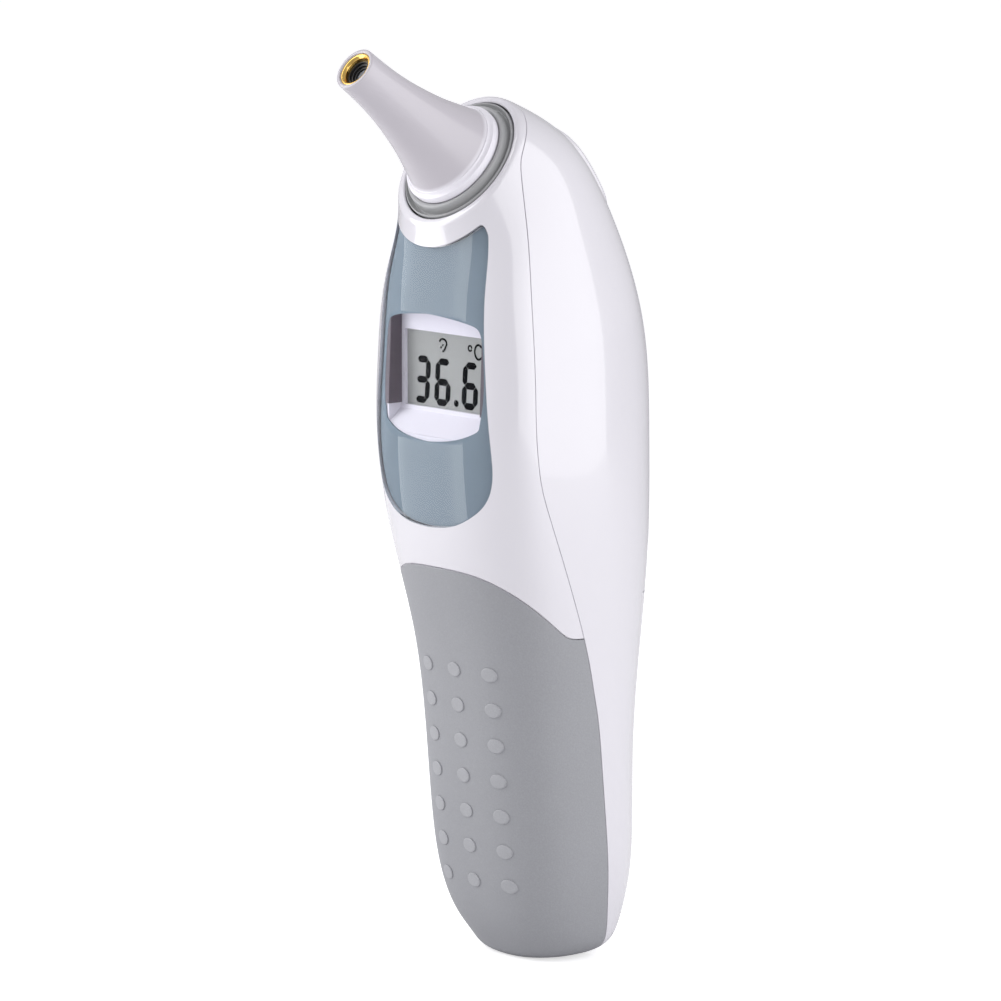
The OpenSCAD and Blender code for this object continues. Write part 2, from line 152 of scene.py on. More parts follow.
def colour_setting(name, description, default):
    return bpy.props.FloatVectorProperty(name=name, description=description, default=default,
                                         subtype="COLOR", min=0, max=1)


def light_setting(name, description, default):
    return bpy.props.FloatProperty(name=name, description=description, default=default, min=0)


class BodySettings(bpy.types.PropertyGroup):
    wall: length_setting("Wall", "Thickness of the two shells", 2.2 * MM)
    grip_depth: length_setting(
        "Grip thickness", "Thickness of the soft grip over the front shell", 1.2 * MM)
    bump_width: length_setting("Bump width", "Width of one raised dot on the grip", 3.0 * MM)
    bump_length: length_setting(
        "Bump length", "Length of one raised dot along the handle", 2.45 * MM)
    bump_height: length_setting("Bump height", "How far a dot stands out of the grip", 0.24 * MM)
    cover_depth: length_setting("Display cover thickness", "Thickness of the clear cover", 1.1 * MM)
    button_proud: length_setting(
        "Button height", "How far the scan button stands out of the back", 0.6 * MM)


class FinishSettings(bpy.types.PropertyGroup):
    shell: colour_setting("Shells", "Colour of the glossy shells", (0.76, 0.745, 0.79))
    grip: colour_setting("Grip", "Colour of the soft grip", (0.32, 0.325, 0.345))
    dots: colour_setting("Dots", "Colour of the raised dots on the grip", (0.375, 0.38, 0.4))
    printed: colour_setting(
        "Cover print", "Colour printed behind the display cover", (0.19, 0.238, 0.282))
    nozzle: colour_setting("Probe", "Colour of the probe", (0.57, 0.543, 0.585))
    # painted highlight: the lighter colour painted on the probe's root
    skirt_highlight: colour_setting("Skirt", "Colour of the skirt at the probe's root", (0.88, 0.86, 0.92))
    ring: colour_setting("Release ring", "Colour of the ring round the probe", (0.40, 0.405, 0.41))


class StudioSettings(bpy.types.PropertyGroup):
    azimuth: bpy.props.FloatProperty(
        name="Camera azimuth", description="Camera's turn round the object from its front",
        default=math.radians(49), subtype="ANGLE")
    elevation: bpy.props.FloatProperty(
        name="Camera elevation", description="Camera's height above the horizon",
        default=math.radians(8.7), subtype="ANGLE")
    distance: bpy.props.FloatProperty(
        name="Camera distance", description="From the camera to the point it looks at",
        default=0.87, unit="LENGTH")
    aim: bpy.props.FloatVectorProperty(
        name="Aim", description="Point that the camera looks at",
        default=(0, -6 * MM, 76 * MM), subtype="XYZ", unit="LENGTH", precision=4)
    front_light: light_setting("Front light", "Brightness of the panel in front, to the left", 2.85)
    left_fill: light_setting(
        "Left fill", "Brightness of the soft panel on the -X side", 1.3)
    side_light: light_setting("Side light", "Brightness of the broad panel on the right", 1.36)
    surroundings: light_setting("Surroundings", "Brightness of the room all round", 0.5)
    focal_length: bpy.props.FloatProperty(
        name="Focal length", description="Camera's focal length in millimetres",
        default=191.69, unit="CAMERA")


# ---------------------------------------------------------------- the body's surface


class Curve:
    """A smooth curve through rows of numbers; a whole parameter is at a row."""

    def __init__(self, rows):
        self.rows = np.asarray(rows, float)
        count = len(self.rows)
        system = np.eye(count)
        for i in range(1, count - 1):
            system[i, i - 1:i + 2] = 1, 4, 1
        change = np.zeros_like(self.rows)
        change[1:-1] = self.rows[2:] - 2 * self.rows[1:-1] + self.rows[:-2]
        self.bend = np.linalg.solve(system, change)

    def __call__(self, t):
        i = np.clip(np.asarray(t, float).astype(int), 0, len(self.rows) - 2)
        f = (t - i)[..., None]
        g = 1 - f
        return (g * self.rows[i] + f * self.rows[i + 1]
                + (g ** 3 - g) * self.bend[i] + (f ** 3 - f) * self.bend[i + 1])

    def sampled(self, steps):
        return self(np.linspace(0, len(self.rows) - 1, (len(self.rows) - 1) * steps + 1))


body_curve = Curve(STATIONS)


def section_frame(t):
    """The body's numbers at t: front z and y, rise, run and span of the section, its widest
    point from the front, its half width, and its fullness in front and behind."""
    front_z, front_y, back_z, back_y, half, widest, full_front, full_back = np.moveaxis(
        body_curve(t), -1, 0)
    run, rise = back_y - front_y, back_z - front_z
    span = np.hypot(run, rise)
    return front_z, front_y, rise, run, span, span * widest, half, full_front, full_back


def body_point(t, angle, depth=0.0):
    """The point of the body's section t in the direction angle, drawn in by depth."""
    t, angle = np.broadcast_arrays(t, angle)
    front_z, front_y, rise, run, span, mid, half, full_front, full_back = section_frame(t)
    c, s = np.cos(angle), np.sin(angle)
    full = np.where(s < 0, full_front, full_back)
    radius = (np.abs(c) ** full + np.abs(s) ** full) ** (-1 / full)
    v = mid + (np.where(s < 0, mid, span - mid) - depth) * radius * s
    z = front_z + rise / span * v
    return np.stack([(half - depth) * radius * c, front_y + run / span * v,
                     z + depth * np.clip(1 - z / BUTT_RISE, 0, None)], -1)


def section_of(y, z):
    """The parameter of the section whose plane holds the side-view point y, z."""
    low, high = np.zeros(np.shape(y)), np.full(np.shape(y), float(LAST))
    for _ in range(HALVINGS):
        t = (low + high) / 2
        front_z, front_y, rise, run = section_frame(t)[:4]
        above = (z - front_z) * run - (y - front_y) * rise > 0
        low, high = np.where(above, t, low), np.where(above, high, t)
    return (low + high) / 2


def in_section(y, z):
    """The side-view point y, z in its section: the section's parameter, the point's distance
    behind the widest line, the section's extent and fullness on that side of the line, and the
    section's half width, run, rise and span."""
    t = section_of(y, z)
    front_z, front_y, rise, run, span, mid, half, full_front, full_back = section_frame(t)
    v = ((y - front_y) * run + (z - front_z) * rise) / span - mid
    size, full = np.where(v < 0, mid, span - mid), np.where(v < 0, full_front, full_back)
    return t, v, size, full, half, run, rise, span


def depth_of(points):
    """How far points are under the body's surface, near enough close to it."""
    x, y, z = np.moveaxis(np.asarray(points, float), -1, 0)
    _, v, size, full, half, *_ = in_section(y, z)
    a, b = np.abs(x) / half, np.abs(v) / size
    reach = (a ** full + b ** full) ** (1 / full)
    slope = np.hypot(a ** (full - 1) / half, b ** (full - 1) / size)
    return (1 - reach) * reach ** (full - 1) / np.maximum(slope, 1e-9)


def outward(points):
    """The body's unit normals at points on its surface."""
    x, y, z = np.moveaxis(np.asarray(points, float), -1, 0)
    t, v, size, full, half, run, rise, span = in_section(y, z)
    gx = np.sign(x) * (np.abs(x) / half) ** (full - 1) / half
    gv = np.sign(v) * (np.abs(v) / size) ** (full - 1) / size
    angle = np.arctan2(v / size, x / half)
    step = 0.02
    along = (body_point(np.clip(t + step, 0, LAST), angle)
             - body_point(np.clip(t - step, 0, LAST), angle))
    around = np.stack([-gv, gx * run / span, gx * rise / span], -1)
    normal = np.cross(around, along)
    flat = np.stack([gx, gv * run / span, gv * rise / span], -1)
    normal *= np.sign(np.sum(normal * flat, -1, keepdims=True))
    return normal / np.linalg.norm(normal, axis=-1, keepdims=True)


def pressed_on(points, direction, depth=0.0, reach=40 * MM):
    """Moves points that start inside the body back along an inward direction, on to the
    surface that lies depth under the body's own."""
    direction = np.asarray(direction, float)
    low, high = np.full(len(points), -reach), np.zeros(len(points))
    for _ in range(HALVINGS):
        mid = (low + high) / 2
        outside = depth_of(points + mid[:, None] * direction) < depth
        low, high = np.where(outside, mid, low), np.where(outside, high, mid)
    return points + mid[:, None] * direction


def on_side(line):
    """Points of the body's +X side under a side-view line (y, z), where it is over the body."""
    _, v, size, full, half, *_ = in_section(line[:, 0], line[:, 1])
    rest = 1 - (np.abs(v) / size) ** full
    inside = rest > 0
    x = half[inside] * rest[inside] ** (1 / full[inside])
    return np.column_stack([x, line[inside]])


def seam_loop():
    """The parting line round the body: points and normals, up one side and down the other."""
    line = Curve(SEAM).sampled(60)
    side = on_side(line[line[:, 1] > 0.05 * MM])
    other = side[::-1] * (-1, 1, 1)
    loop = resampled(np.concatenate([side, other]), 0.5 * MM)
    normals = outward(loop)
    # across the flat butt
    end = np.linspace(loop[-1], loop[0], 24)[1:-1]
    return (np.concatenate([loop, end]),
            np.concatenate([normals, np.tile([0.0, 0, -1], (len(end), 1))]))


# ---------------------------------------------------------------- outlines


def resampled(points, spacing, closed=False):
    """Points spaced evenly along a polyline."""
    points = np.asarray(points, float)
    if closed:
        points = np.concatenate([points, points[:1]])
    length = np.concatenate([[0], np.cumsum(np.linalg.norm(np.diff(points, axis=0), axis=1))])
    count = max(2, round(length[-1] / spacing))
    at = np.linspace(0, length[-1], count + 1)[:-1 if closed else None]
    return np.column_stack([np.interp(at, length, column) for column in points.T])


def eased(outline, radius, closed=True, steps=4):
    """An outline with its corners rounded off."""
    outline = np.asarray(outline, float)
    count, made = len(outline), []
    for i, corner in enumerate(outline):
        if not closed and i in (0, count - 1):
            made.append(corner)
            continue
        ends = []
        for other in (outline[i - 1], outline[(i + 1) % count]):
            length = np.linalg.norm(other - corner)
            ends.append(corner + (other - corner) * min(radius, 0.45 * length) / length)
        for f in np.linspace(0, 1, steps + 1):
            made.append((1 - f) ** 2 * ends[0] + 2 * f * (1 - f) * corner + f * f * ends[1])
    return np.array(made)


def mirrored(side):
    """A closed outline from its right half, which starts and ends on the centre line."""
    return np.concatenate([side, side[-2:0:-1] * (-1, 1)])


def wrapped(outline, by):
    """An outline made wider by a factor on its -X side."""
    return outline * np.column_stack([np.where(outline[:, 0] < 0, by, 1), np.ones(len(outline))])


def cover_outline(spacing=0.35 * MM):
    """The display cover seen from the front (x, z), with its concave top and eased corners."""
    low, radius, half = COVER_TOP
    x = np.linspace(0, half, 16)
    top = np.column_stack([x, low + radius - np.sqrt(radius ** 2 - x ** 2)])
    side = np.concatenate([top, Curve(COVER_SIDE).sampled(8)])
    around = eased(resampled(wrapped(mirrored(side), COVER_WRAP), 0.8 * MM, True), 0.5 * MM)
    return resampled(around, spacing, True)


def window_outline(spacing=0.35 * MM):
    """The clear window in the cover's print, seen from the front (x, z)."""
    half = Curve(WINDOW_SIDE).sampled(8)
    return resampled(wrapped(mirrored(half), WINDOW_WRAP), spacing, True)


def stadium(width, length, spacing=0.4 * MM):
    """An upright outline with straight sides and round ends."""
    radius, straight = width / 2, (length - width) / 2
    angle = np.linspace(0, 2 * math.pi, 96, endpoint=False)
    outline = np.column_stack([np.cos(angle), np.sin(angle)]) * radius
    outline[:, 1] += np.where(outline[:, 1] >= 0, straight, -straight)
    return resampled(outline, spacing, True)


def widened(outline, by):
    """A closed outline moved outwards by a distance."""
    ahead = np.roll(outline, -1, 0) - np.roll(outline, 1, 0)
    side = np.column_stack([ahead[:, 1], -ahead[:, 0]])
    side /= np.linalg.norm(side, axis=1, keepdims=True)
    area = np.sum(outline[:, 0] * np.roll(outline[:, 1], -1)
                  - outline[:, 1] * np.roll(outline[:, 0], -1))
    return outline + side * by * np.sign(area)


# ---------------------------------------------------------------- meshes


def build(name, points, faces):
    """A closed mesh object from points and faces, its faces turned outwards."""
    mesh = bpy.data.meshes.new(name)
    mesh.from_pydata(np.asarray(points, float).tolist(), [], faces)
    work = bmesh.new()
    work.from_mesh(mesh)
    if work.calc_volume(signed=True) < 0:
        bmesh.ops.reverse_faces(work, faces=work.faces)
    work.to_mesh(mesh)
    work.free()
    obj = bpy.data.objects.new(name, mesh)
    bpy.context.scene.collection.objects.link(obj)
    return obj


def placed(points, place):
    """Points moved from a place's own coordinates to the object's."""
    matrix = np.array(place)
    return points @ matrix[:3, :3].T + matrix[:3, 3]


def loft(name, rings, closed=False):
    """A solid through rings of points; closed joins the last ring to the first."""
    rings = np.asarray(rings, float)
    index = np.arange(rings.shape[0] * rings.shape[1]).reshape(rings.shape[:2])
    a, b = (index, np.roll(index, -1, 0)) if closed else (index[:-1], index[1:])
    quads = np.stack([a, np.roll(a, -1, 1), np.roll(b, -1, 1), b], -1).reshape(-1, 4).tolist()
    ends = [] if closed else [index[0][::-1].tolist(), index[-1].tolist()]
    return build(name, rings.reshape(-1, 3), quads + ends)


def sweep(name, path, out, section, closed=False):
    """A section (across, out) carried along a path of points with their outward directions."""
    path, out = np.asarray(path, float), np.asarray(out, float)
    ahead = (np.roll(path, -1, 0) - np.roll(path, 1, 0)) if closed else np.gradient(path, axis=0)
    across = np.cross(ahead, out)
    across /= np.linalg.norm(across, axis=1, keepdims=True)
    out = np.cross(across, ahead)
    out /= np.linalg.norm(out, axis=1, keepdims=True)
    section = np.asarray(section, float)
    rings = (path[:, None] + across[:, None] * section[None, :, :1]
             + out[:, None] * section[None, :, 1:])
    return loft(name, rings, closed)


def circle(radius, sides):
    """A round outline, as a polygon."""
    angle = np.linspace(0, 2 * math.pi, sides, endpoint=False)
    return np.column_stack([np.cos(angle), np.sin(angle)]) * radius


def revolved(name, profile, place, sides=144):
    """A closed profile (radius, along) turned round an axis; place is a matrix whose Z it is."""
    angle = np.linspace(0, 2 * math.pi, sides, endpoint=False)
    profile = np.asarray(profile, float)
    rings = np.stack([np.outer(np.cos(angle), profile[:, 0]),
                      np.outer(np.sin(angle), profile[:, 0]),
                      np.tile(profile[:, 1], (sides, 1))], -1)
    return loft(name, placed(rings, place), closed=True)


def prism(name, outline, low, high, place=Matrix.Identity(4)):
    """An outline in a place's XY plane, drawn from low to high along its Z."""
    rings = [np.column_stack([outline, np.full(len(outline), h)]) for h in (low, high)]
    return loft(name, placed(np.array(rings), place))


def block(name, low, high):
    """A box between two corners."""
    outline = [(low[0], low[1]), (high[0], low[1]), (high[0], high[1]), (low[0], high[1])]
    return prism(name, np.array(outline), low[2], high[2])


def across_body(name, outline, half_width=60 * MM):
    """A side-view outline (y, z), drawn across the body."""
    rings = [np.column_stack([np.full(len(outline), x), outline])
             for x in (-half_width, half_width)]
    return loft(name, rings)


def into_front(name, outline, low=-60 * MM, high=-8 * MM):
    """A front-view outline (x, z), drawn into the front."""
    rings = [np.column_stack([outline[:, 0], np.full(len(outline), y), outline[:, 1]])
             for y in (low, high)]
    return loft(name, rings)


def combine(obj, operation, *tools):
    """Cuts, joins or intersects obj with tools, which are used up."""
    for tool in tools:
        change = obj.modifiers.new(operation, "BOOLEAN")
        change.operation, change.solver, change.object = operation, "MANIFOLD", tool
        shaped = obj.evaluated_get(bpy.context.evaluated_depsgraph_get())
        old, made = obj.data, bpy.data.meshes.new_from_object(shaped)
        obj.modifiers.clear()
        obj.data = made
        bpy.data.meshes.remove(old)
        bpy.data.objects.remove(tool)
    if not obj.data.polygons:
        raise RuntimeError(f"{obj.name} has nothing left after {operation}")
    return obj


def body_solid(name, depth=0.0, rows=14, columns=200):
    """The body drawn in by depth, with the rim of its head eased."""
    t = np.linspace(0, LAST, LAST * rows + 1)
    angle = np.linspace(0, 2 * math.pi, columns, endpoint=False)
    rings = body_point(t[:, None], angle[None], depth)
    # ease the edge between the side and the head's face
    edge, centre, share = rings[-1], rings[-1].mean(0), 0.955
    face = centre + (edge - centre) * share
    start = rings[-3]
    rounding = [(1 - f) ** 2 * start + 2 * f * (1 - f) * edge + f * f * face
                for f in np.linspace(0, 1, 9)]
    return loft(name, np.concatenate([rings[:-3], rounding]))


def layer(name, region, depth):
    """The part of a region that lies outside the body drawn in by depth."""
    return combine(region, "DIFFERENCE", body_solid(name, depth))


def shade(obj, angle=35):
    """Smooth shading, with creases where faces meet at more than an angle in degrees."""
    obj.data.shade_smooth()
    obj.data.set_sharp_from_angle(angle=math.radians(angle))


def polish(obj, depth=0.0, level=None):
    """Gives faces on the body's surface its exact normals, so reflections run clean to an edge.
    A level is a height whose normals serve for the whole front, which keeps them straight."""
    shade(obj)
    mesh = obj.data
    count = len(mesh.polygons)
    centres, facing = np.zeros(count * 3), np.zeros(count * 3)
    sizes, corners = np.zeros(count, int), np.zeros(len(mesh.loops), int)
    spots, normals = np.zeros(len(mesh.vertices) * 3), np.zeros(len(mesh.loops) * 3)
    mesh.polygons.foreach_get("center", centres)
    mesh.polygons.foreach_get("normal", facing)
    mesh.polygons.foreach_get("loop_total", sizes)
    mesh.loops.foreach_get("vertex_index", corners)
    mesh.vertices.foreach_get("co", spots)
    mesh.corner_normals.foreach_get("vector", normals)
    centres, facing, spots, normals = (a.reshape(-1, 3) for a in (centres, facing, spots, normals))
    near, in_line = 0.05 * MM, 0.96
    close = np.abs(depth_of(centres) - depth) < near
    on_surface = close & (np.sum(outward(centres) * facing, 1) > in_line)
    chosen = np.repeat(on_surface, sizes)
    used = np.unique(corners[chosen])
    exact = np.zeros_like(spots)
    if level is not None:
        flat = np.column_stack([spots[used, 0], np.full((len(used), 2), (-10 * MM, level))])
        exact[used] = outward(pressed_on(flat, (0, 1, 0)))
    else:
        exact[used] = outward(spots[used])
    normals[chosen] = exact[corners[chosen]]
    mesh.normals_split_custom_set(normals.tolist())


def cushions(name, outlines, place, edge, fill=18):
    """Closed pads pressed on to the body's curved surface. Outlines are in a place's XY plane,
    and edge lists depth and offset pairs from a pad's back to its front."""
    core = 0.04  # size of the innermost ring of a pad's faces
    levels = ([(*edge[0], f) for f in np.linspace(core, 1, fill)[:-1]]
              + [(*level, 1) for level in edge]
              + [(*edge[-1], f) for f in np.linspace(1, core, fill)[1:]])
    flat = np.array([[outline.mean(0) + (widened(outline, by) - outline.mean(0)) * f
                      for _, by, f in levels] for outline in outlines])
    points = np.append(flat, np.zeros((*flat.shape[:3], 1)), -1).reshape(-1, 3)
    depths = np.tile(np.repeat([level[0] for level in levels], flat.shape[2]), len(flat))
    points = pressed_on(placed(points, place), -np.array(place)[:3, 2], depths)
    pads = [loft(name, rings) for rings in points.reshape(*flat.shape[:3], 3)]
    return combine(pads[0], "UNION", *pads[1:]) if len(pads) > 1 else pads[0]


# ---------------------------------------------------------------- materials


def group_of(name, inputs, outputs):
    """A new shader node group with named sockets: returns it, its input and its output node."""
    group = bpy.data.node_groups.new(name, "ShaderNodeTree")
    for label, kind, value in inputs:
        socket = group.interface.new_socket(label, in_out="INPUT", socket_type=kind)
        socket.default_value = value
    for label, kind in outputs:
        group.interface.new_socket(label, in_out="OUTPUT", socket_type=kind)
    return group, group.nodes.new("NodeGroupInput"), group.nodes.new("NodeGroupOutput")


def noise_node(tree, scale, detail=2.0, stretch=None):
    """Noise in the object's own coordinates; scale is a socket or a number."""
    nodes, links = tree.nodes, tree.links
    place, noise = nodes.new("ShaderNodeTexCoord"), nodes.new("ShaderNodeTexNoise")
    source = place.outputs["Object"]
    if stretch:
        mapping = nodes.new("ShaderNodeMapping")
        mapping.inputs["Scale"].default_value = stretch
        links.new(source, mapping.inputs["Vector"])
        source = mapping.outputs["Vector"]
    links.new(source, noise.inputs["Vector"])
    noise.inputs["Detail"].default_value = detail
    if isinstance(scale, bpy.types.NodeSocket):
        links.new(scale, noise.inputs["Scale"])
    else:
        noise.inputs["Scale"].default_value = scale
    return noise.outputs["Fac"]


def math_node(tree, operation, a, b=None, c=None):
    """One step of arithmetic on sockets or numbers."""
    node = tree.nodes.new("ShaderNodeMath")
    node.operation = operation
    for socket, value in zip(node.inputs, (a, b, c)):
        if isinstance(value, bpy.types.NodeSocket):
            tree.links.new(value, socket)
        elif value is not None:
            socket.default_value = value
    return node.outputs["Value"]


def mottle_group():
    """Slow changes of colour and of polish over a moulded part, and its fine unevenness."""
    group, given, made = group_of(
        "moulded surface",
        [("Colour", "NodeSocketColor", (0.8, 0.8, 0.8, 1)), ("Mottle", "NodeSocketFloat", 0.03),
         ("Roughness", "NodeSocketFloat", 0.3), ("Smudge", "NodeSocketFloat", 0.04),
         ("Scale", "NodeSocketFloat", 60.0)],
        [("Colour", "NodeSocketColor"), ("Roughness", "NodeSocketFloat"),
         ("Height", "NodeSocketFloat")])
    links = group.links
    slow = noise_node(group, given.outputs["Scale"], detail=3)
    swing = math_node(group, "SUBTRACT", slow, 0.5)
    value = math_node(group, "MULTIPLY_ADD", swing, given.outputs["Mottle"], 1.0)
    tone = group.nodes.new("ShaderNodeHueSaturation")
    links.new(value, tone.inputs["Value"])
    links.new(given.outputs["Colour"], tone.inputs["Color"])
    links.new(tone.outputs["Color"], made.inputs["Colour"])
    wiped = noise_node(group, 170.0, detail=4, stretch=(1, 1, 0.35))
    rough = math_node(group, "MULTIPLY_ADD", math_node(group, "SUBTRACT", wiped, 0.5),
                      given.outputs["Smudge"], given.outputs["Roughness"])
    links.new(rough, made.inputs["Roughness"])
    links.new(noise_node(group, 420.0), made.inputs["Height"])
    return group


def grain_group():
    """Fine pits and ridges of a textured mould."""
    group, given, made = group_of(
        "fine grain", [("Size", "NodeSocketFloat", 3000.0)],
        [("Height", "NodeSocketFloat"), ("Tone", "NodeSocketFloat")])
    place, cells = group.nodes.new("ShaderNodeTexCoord"), group.nodes.new("ShaderNodeTexVoronoi")
    group.links.new(place.outputs["Object"], cells.inputs["Vector"])
    group.links.new(given.outputs["Size"], cells.inputs["Scale"])
    cloudy = noise_node(group, given.outputs["Size"], detail=4)
    height = math_node(group, "MULTIPLY_ADD", cells.outputs["Distance"], 0.6, cloudy)
    group.links.new(height, made.inputs["Height"])
    group.links.new(math_node(group, "MULTIPLY_ADD", height, 0.16, 0.9), made.inputs["Tone"])
    return group


def brushed_group():
    """Long fine scratches along one direction of a drawn or rolled metal."""
    group, given, made = group_of(
        "drawn metal", [("Roughness", "NodeSocketFloat", 0.25), ("Depth", "NodeSocketFloat", 0.2)],
        [("Roughness", "NodeSocketFloat"), ("Height", "NodeSocketFloat")])
    lines = noise_node(group, 900.0, detail=3, stretch=(1, 1, 0.06))
    rough = math_node(group, "MULTIPLY_ADD", lines, given.outputs["Depth"],
                      given.outputs["Roughness"])
    group.links.new(rough, made.inputs["Roughness"])
    group.links.new(lines, made.inputs["Height"])
    return group


GROUP_MAKERS = {"moulded surface": mottle_group, "fine grain": grain_group,
                "drawn metal": brushed_group}


def placed_group(tree, name, **values):
    """A shared group, built the first time it is asked for, placed with its own values."""
    node = tree.nodes.new("ShaderNodeGroup")
    node.node_tree = bpy.data.node_groups.get(name) or GROUP_MAKERS[name]()
    for label, value in values.items():
        node.inputs[label].default_value = value
    return node


def material(name, colour, roughness=0.4, mottle=0.05, smudge=0.05, bump=0.02, grain=None,
             scale=60.0, metal=None, **sockets):
    """A finish made once by name: moulded, with grain of a size, or drawn metal. Bump is in mm."""
    found = bpy.data.materials.get(name)
    if found:
        return found
    made = bpy.data.materials.new(name)
    made.use_nodes = True
    tree = made.node_tree
    shader = tree.nodes["Principled BSDF"]
    for label, value in sockets.items():
        shader.inputs[label.replace("_", " ")].default_value = value
    surface = placed_group(tree, "moulded surface", Colour=(*colour, 1), Mottle=mottle,
                           Roughness=roughness, Smudge=smudge, Scale=scale)
    base, rough = surface.outputs["Colour"], surface.outputs["Roughness"]
    height = surface.outputs["Height"]
    if grain:
        texture = placed_group(tree, "fine grain", Size=grain)
        height = texture.outputs["Height"]
        tint = tree.nodes.new("ShaderNodeMix")
        tint.data_type, tint.blend_type = "RGBA", "MULTIPLY"
        tint.inputs["Factor"].default_value = 1
        tree.links.new(base, tint.inputs["A"])
        tree.links.new(texture.outputs["Tone"], tint.inputs["B"])
        base = tint.outputs["Result"]
    if metal is not None:
        texture = placed_group(tree, "drawn metal", Roughness=roughness, Depth=metal)
        rough, height = texture.outputs["Roughness"], texture.outputs["Height"]
        shader.inputs["Metallic"].default_value = 1
    tree.links.new(base, shader.inputs["Base Color"])
    tree.links.new(rough, shader.inputs["Roughness"])
    relief = tree.nodes.new("ShaderNodeBump")
    relief.inputs["Strength"].default_value = 1.0
    relief.inputs["Distance"].default_value = bump * MM
    tree.links.new(height, relief.inputs["Height"])
    tree.links.new(relief.outputs["Normal"], shader.inputs["Normal"])
    return made


def settle(obj, body, slot, finish, *nodes):
    """Gives a piece its finish, the body it rides on and the nodes it stands for; its slot is not used.
    """
    obj.data.materials.clear()
    obj.data.materials.append(finish)
    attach(obj, body)
    if nodes:
        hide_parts(*nodes)
    return obj


def dress(name, finish):
    """Puts a finish on a node of the frame that is shown as it is."""
    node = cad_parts[name]
    node.data.materials.clear()
    node.data.materials.append(finish)
    return node


def span_mask(tree, direction, start, end):
    """0 to 1 as a point of the object goes from start to end along a direction."""
    place, along = tree.nodes.new("ShaderNodeTexCoord"), tree.nodes.new("ShaderNodeVectorMath")
    along.operation = "DOT_PRODUCT"
    along.inputs[1].default_value = direction
    tree.links.new(place.outputs["Object"], along.inputs[0])
    ramp = tree.nodes.new("ShaderNodeMapRange")
    ramp.inputs["From Min"].default_value, ramp.inputs["From Max"].default_value = start, end
    tree.links.new(along.outputs["Value"], ramp.inputs["Value"])
    return ramp.outputs["Result"]


def end_mask(tree, direction, start, end):
    """0 midway from start to end along a direction, rising late to 1 at both of them."""
    both_ways = math_node(tree, "SUBTRACT", math_node(
        tree, "MULTIPLY", span_mask(tree, direction, start, end), 2.0), 1.0)
    return math_node(tree, "POWER", math_node(tree, "ABSOLUTE", both_ways), 5.0)


def clear_finish():
    """The clear cover: glossy over its print, and with little glare over its window."""
    made = material("clear cover", (0.97, 0.98, 1.0), 0.0, mottle=0.004, smudge=0.0,
                    bump=0.0, Transmission_Weight=1.0, IOR=1.05, Specular_IOR_Level=0.1,
                    Coat_Roughness=0.015)
    tree = made.node_tree
    across = end_mask(tree, (1, 0, 0), -11.7 * MM, 11.7 * MM)
    up = end_mask(tree, (0, 0, 1), 87.3 * MM, 108 * MM)
    edge = tree.nodes.new("ShaderNodeMapRange")
    for label, value in (("From Min", 0.9), ("From Max", 1.1), ("To Min", 0.0), ("To Max", 0.75)):
        edge.inputs[label].default_value = value
    tree.links.new(math_node(tree, "ADD", across, up), edge.inputs["Value"])
    tree.links.new(edge.outputs["Result"], tree.nodes["Principled BSDF"].inputs["Coat Weight"])
    return made


def probe_finish(colour, skirt_highlight):
    """The probe's plastic, with a painted highlight that makes its root lighter."""
    made = material("probe plastic with painted highlight", colour, 0.26, mottle=0.015, smudge=0.04, bump=0.0006,
                    Coat_Weight=0.3, Coat_Roughness=0.08)
    tree, axis = made.node_tree, ON_PROBE.to_3x3() @ Vector((0, 0, 1))
    root = RING_CENTRE.dot(axis)
    mix, base = tree.nodes.new("ShaderNodeMix"), tree.nodes["Principled BSDF"].inputs["Base Color"]
    mix.data_type = "RGBA"
    mix.inputs["A"].default_value = (*skirt_highlight, 1)
    tree.links.new(base.links[0].from_socket, mix.inputs["B"])
    # painted highlight: the root is drawn lighter than the rest of the probe, with a soft edge
    highlight_fade = span_mask(tree, axis, root + SKIRT_HIGHLIGHT_FADE[0], root + SKIRT_HIGHLIGHT_FADE[1])
    tree.links.new(highlight_fade, mix.inputs["Factor"])
    tree.links.new(mix.outputs["Result"], base)
    return made


def shell_finish():
    return material("glossy shell", bpy.context.scene.thermometer_finish.shell, 0.2,
                    mottle=0.012, smudge=0.03, bump=0.0006, Coat_Weight=1.0, Coat_Roughness=0.04)


def black_plastic():
    return material("black plastic", (0.012, 0.012, 0.014), 0.35, mottle=0.2, smudge=0.1)


def spring_steel():
    return material("spring steel", (0.55, 0.56, 0.58), 0.2, mottle=0.08, metal=0.15, bump=0.002)


# ---------------------------------------------------------------- pieces


def seam_sides():
    """The seam's curve with a far corner on each side: the front's outline, and the back's."""
    line = Curve(SEAM).sampled(16)
    front = np.concatenate([line, [[-0.12, 0.16], [-0.12, -0.005]]])
    back = np.concatenate([line, [[0.12, 0.16], [0.12, -0.005]]])
    return front, back


def grip_region():
    """The side-view outline (y, z) of all that is below the grip's top edge."""
    edge = Curve(GRIP_EDGE).sampled(10)
    return np.concatenate([[[-0.12, 67.4 * MM]], edge, [[10 * MM, -5 * MM], [-0.12, -5 * MM]]])


def parting_gap():
    """The fine gap between the two shells."""
    points, normals = seam_loop()
    return sweep("parting gap", points, normals, GAP_SECTION, closed=True)


def grip_gap():
    """The fine gap along the grip's top edge, from one side of the parting line to the other."""
    line = Curve(GRIP_EDGE).sampled(40)
    limit = np.interp(line[:, 1], SEAM[:, 1], SEAM[:, 0])
    side = on_side(line[line[:, 0] < limit + 0.02 * MM])[::-1]
    path = resampled(np.concatenate([side, side[::-1] * (-1, 1, 1)]), 0.4 * MM)
    return sweep("grip gap", path, outward(path), GAP_SECTION * (1.9, 1))


def cover_gap():
    """The fine gap round the display cover."""
    outline = cover_outline(0.3 * MM)
    points = np.column_stack([outline[:, 0], np.full(len(outline), -10 * MM), outline[:, 1]])
    points = pressed_on(points, (0, 1, 0))
    return sweep("cover gap", points, outward(points), GAP_SECTION, closed=True)


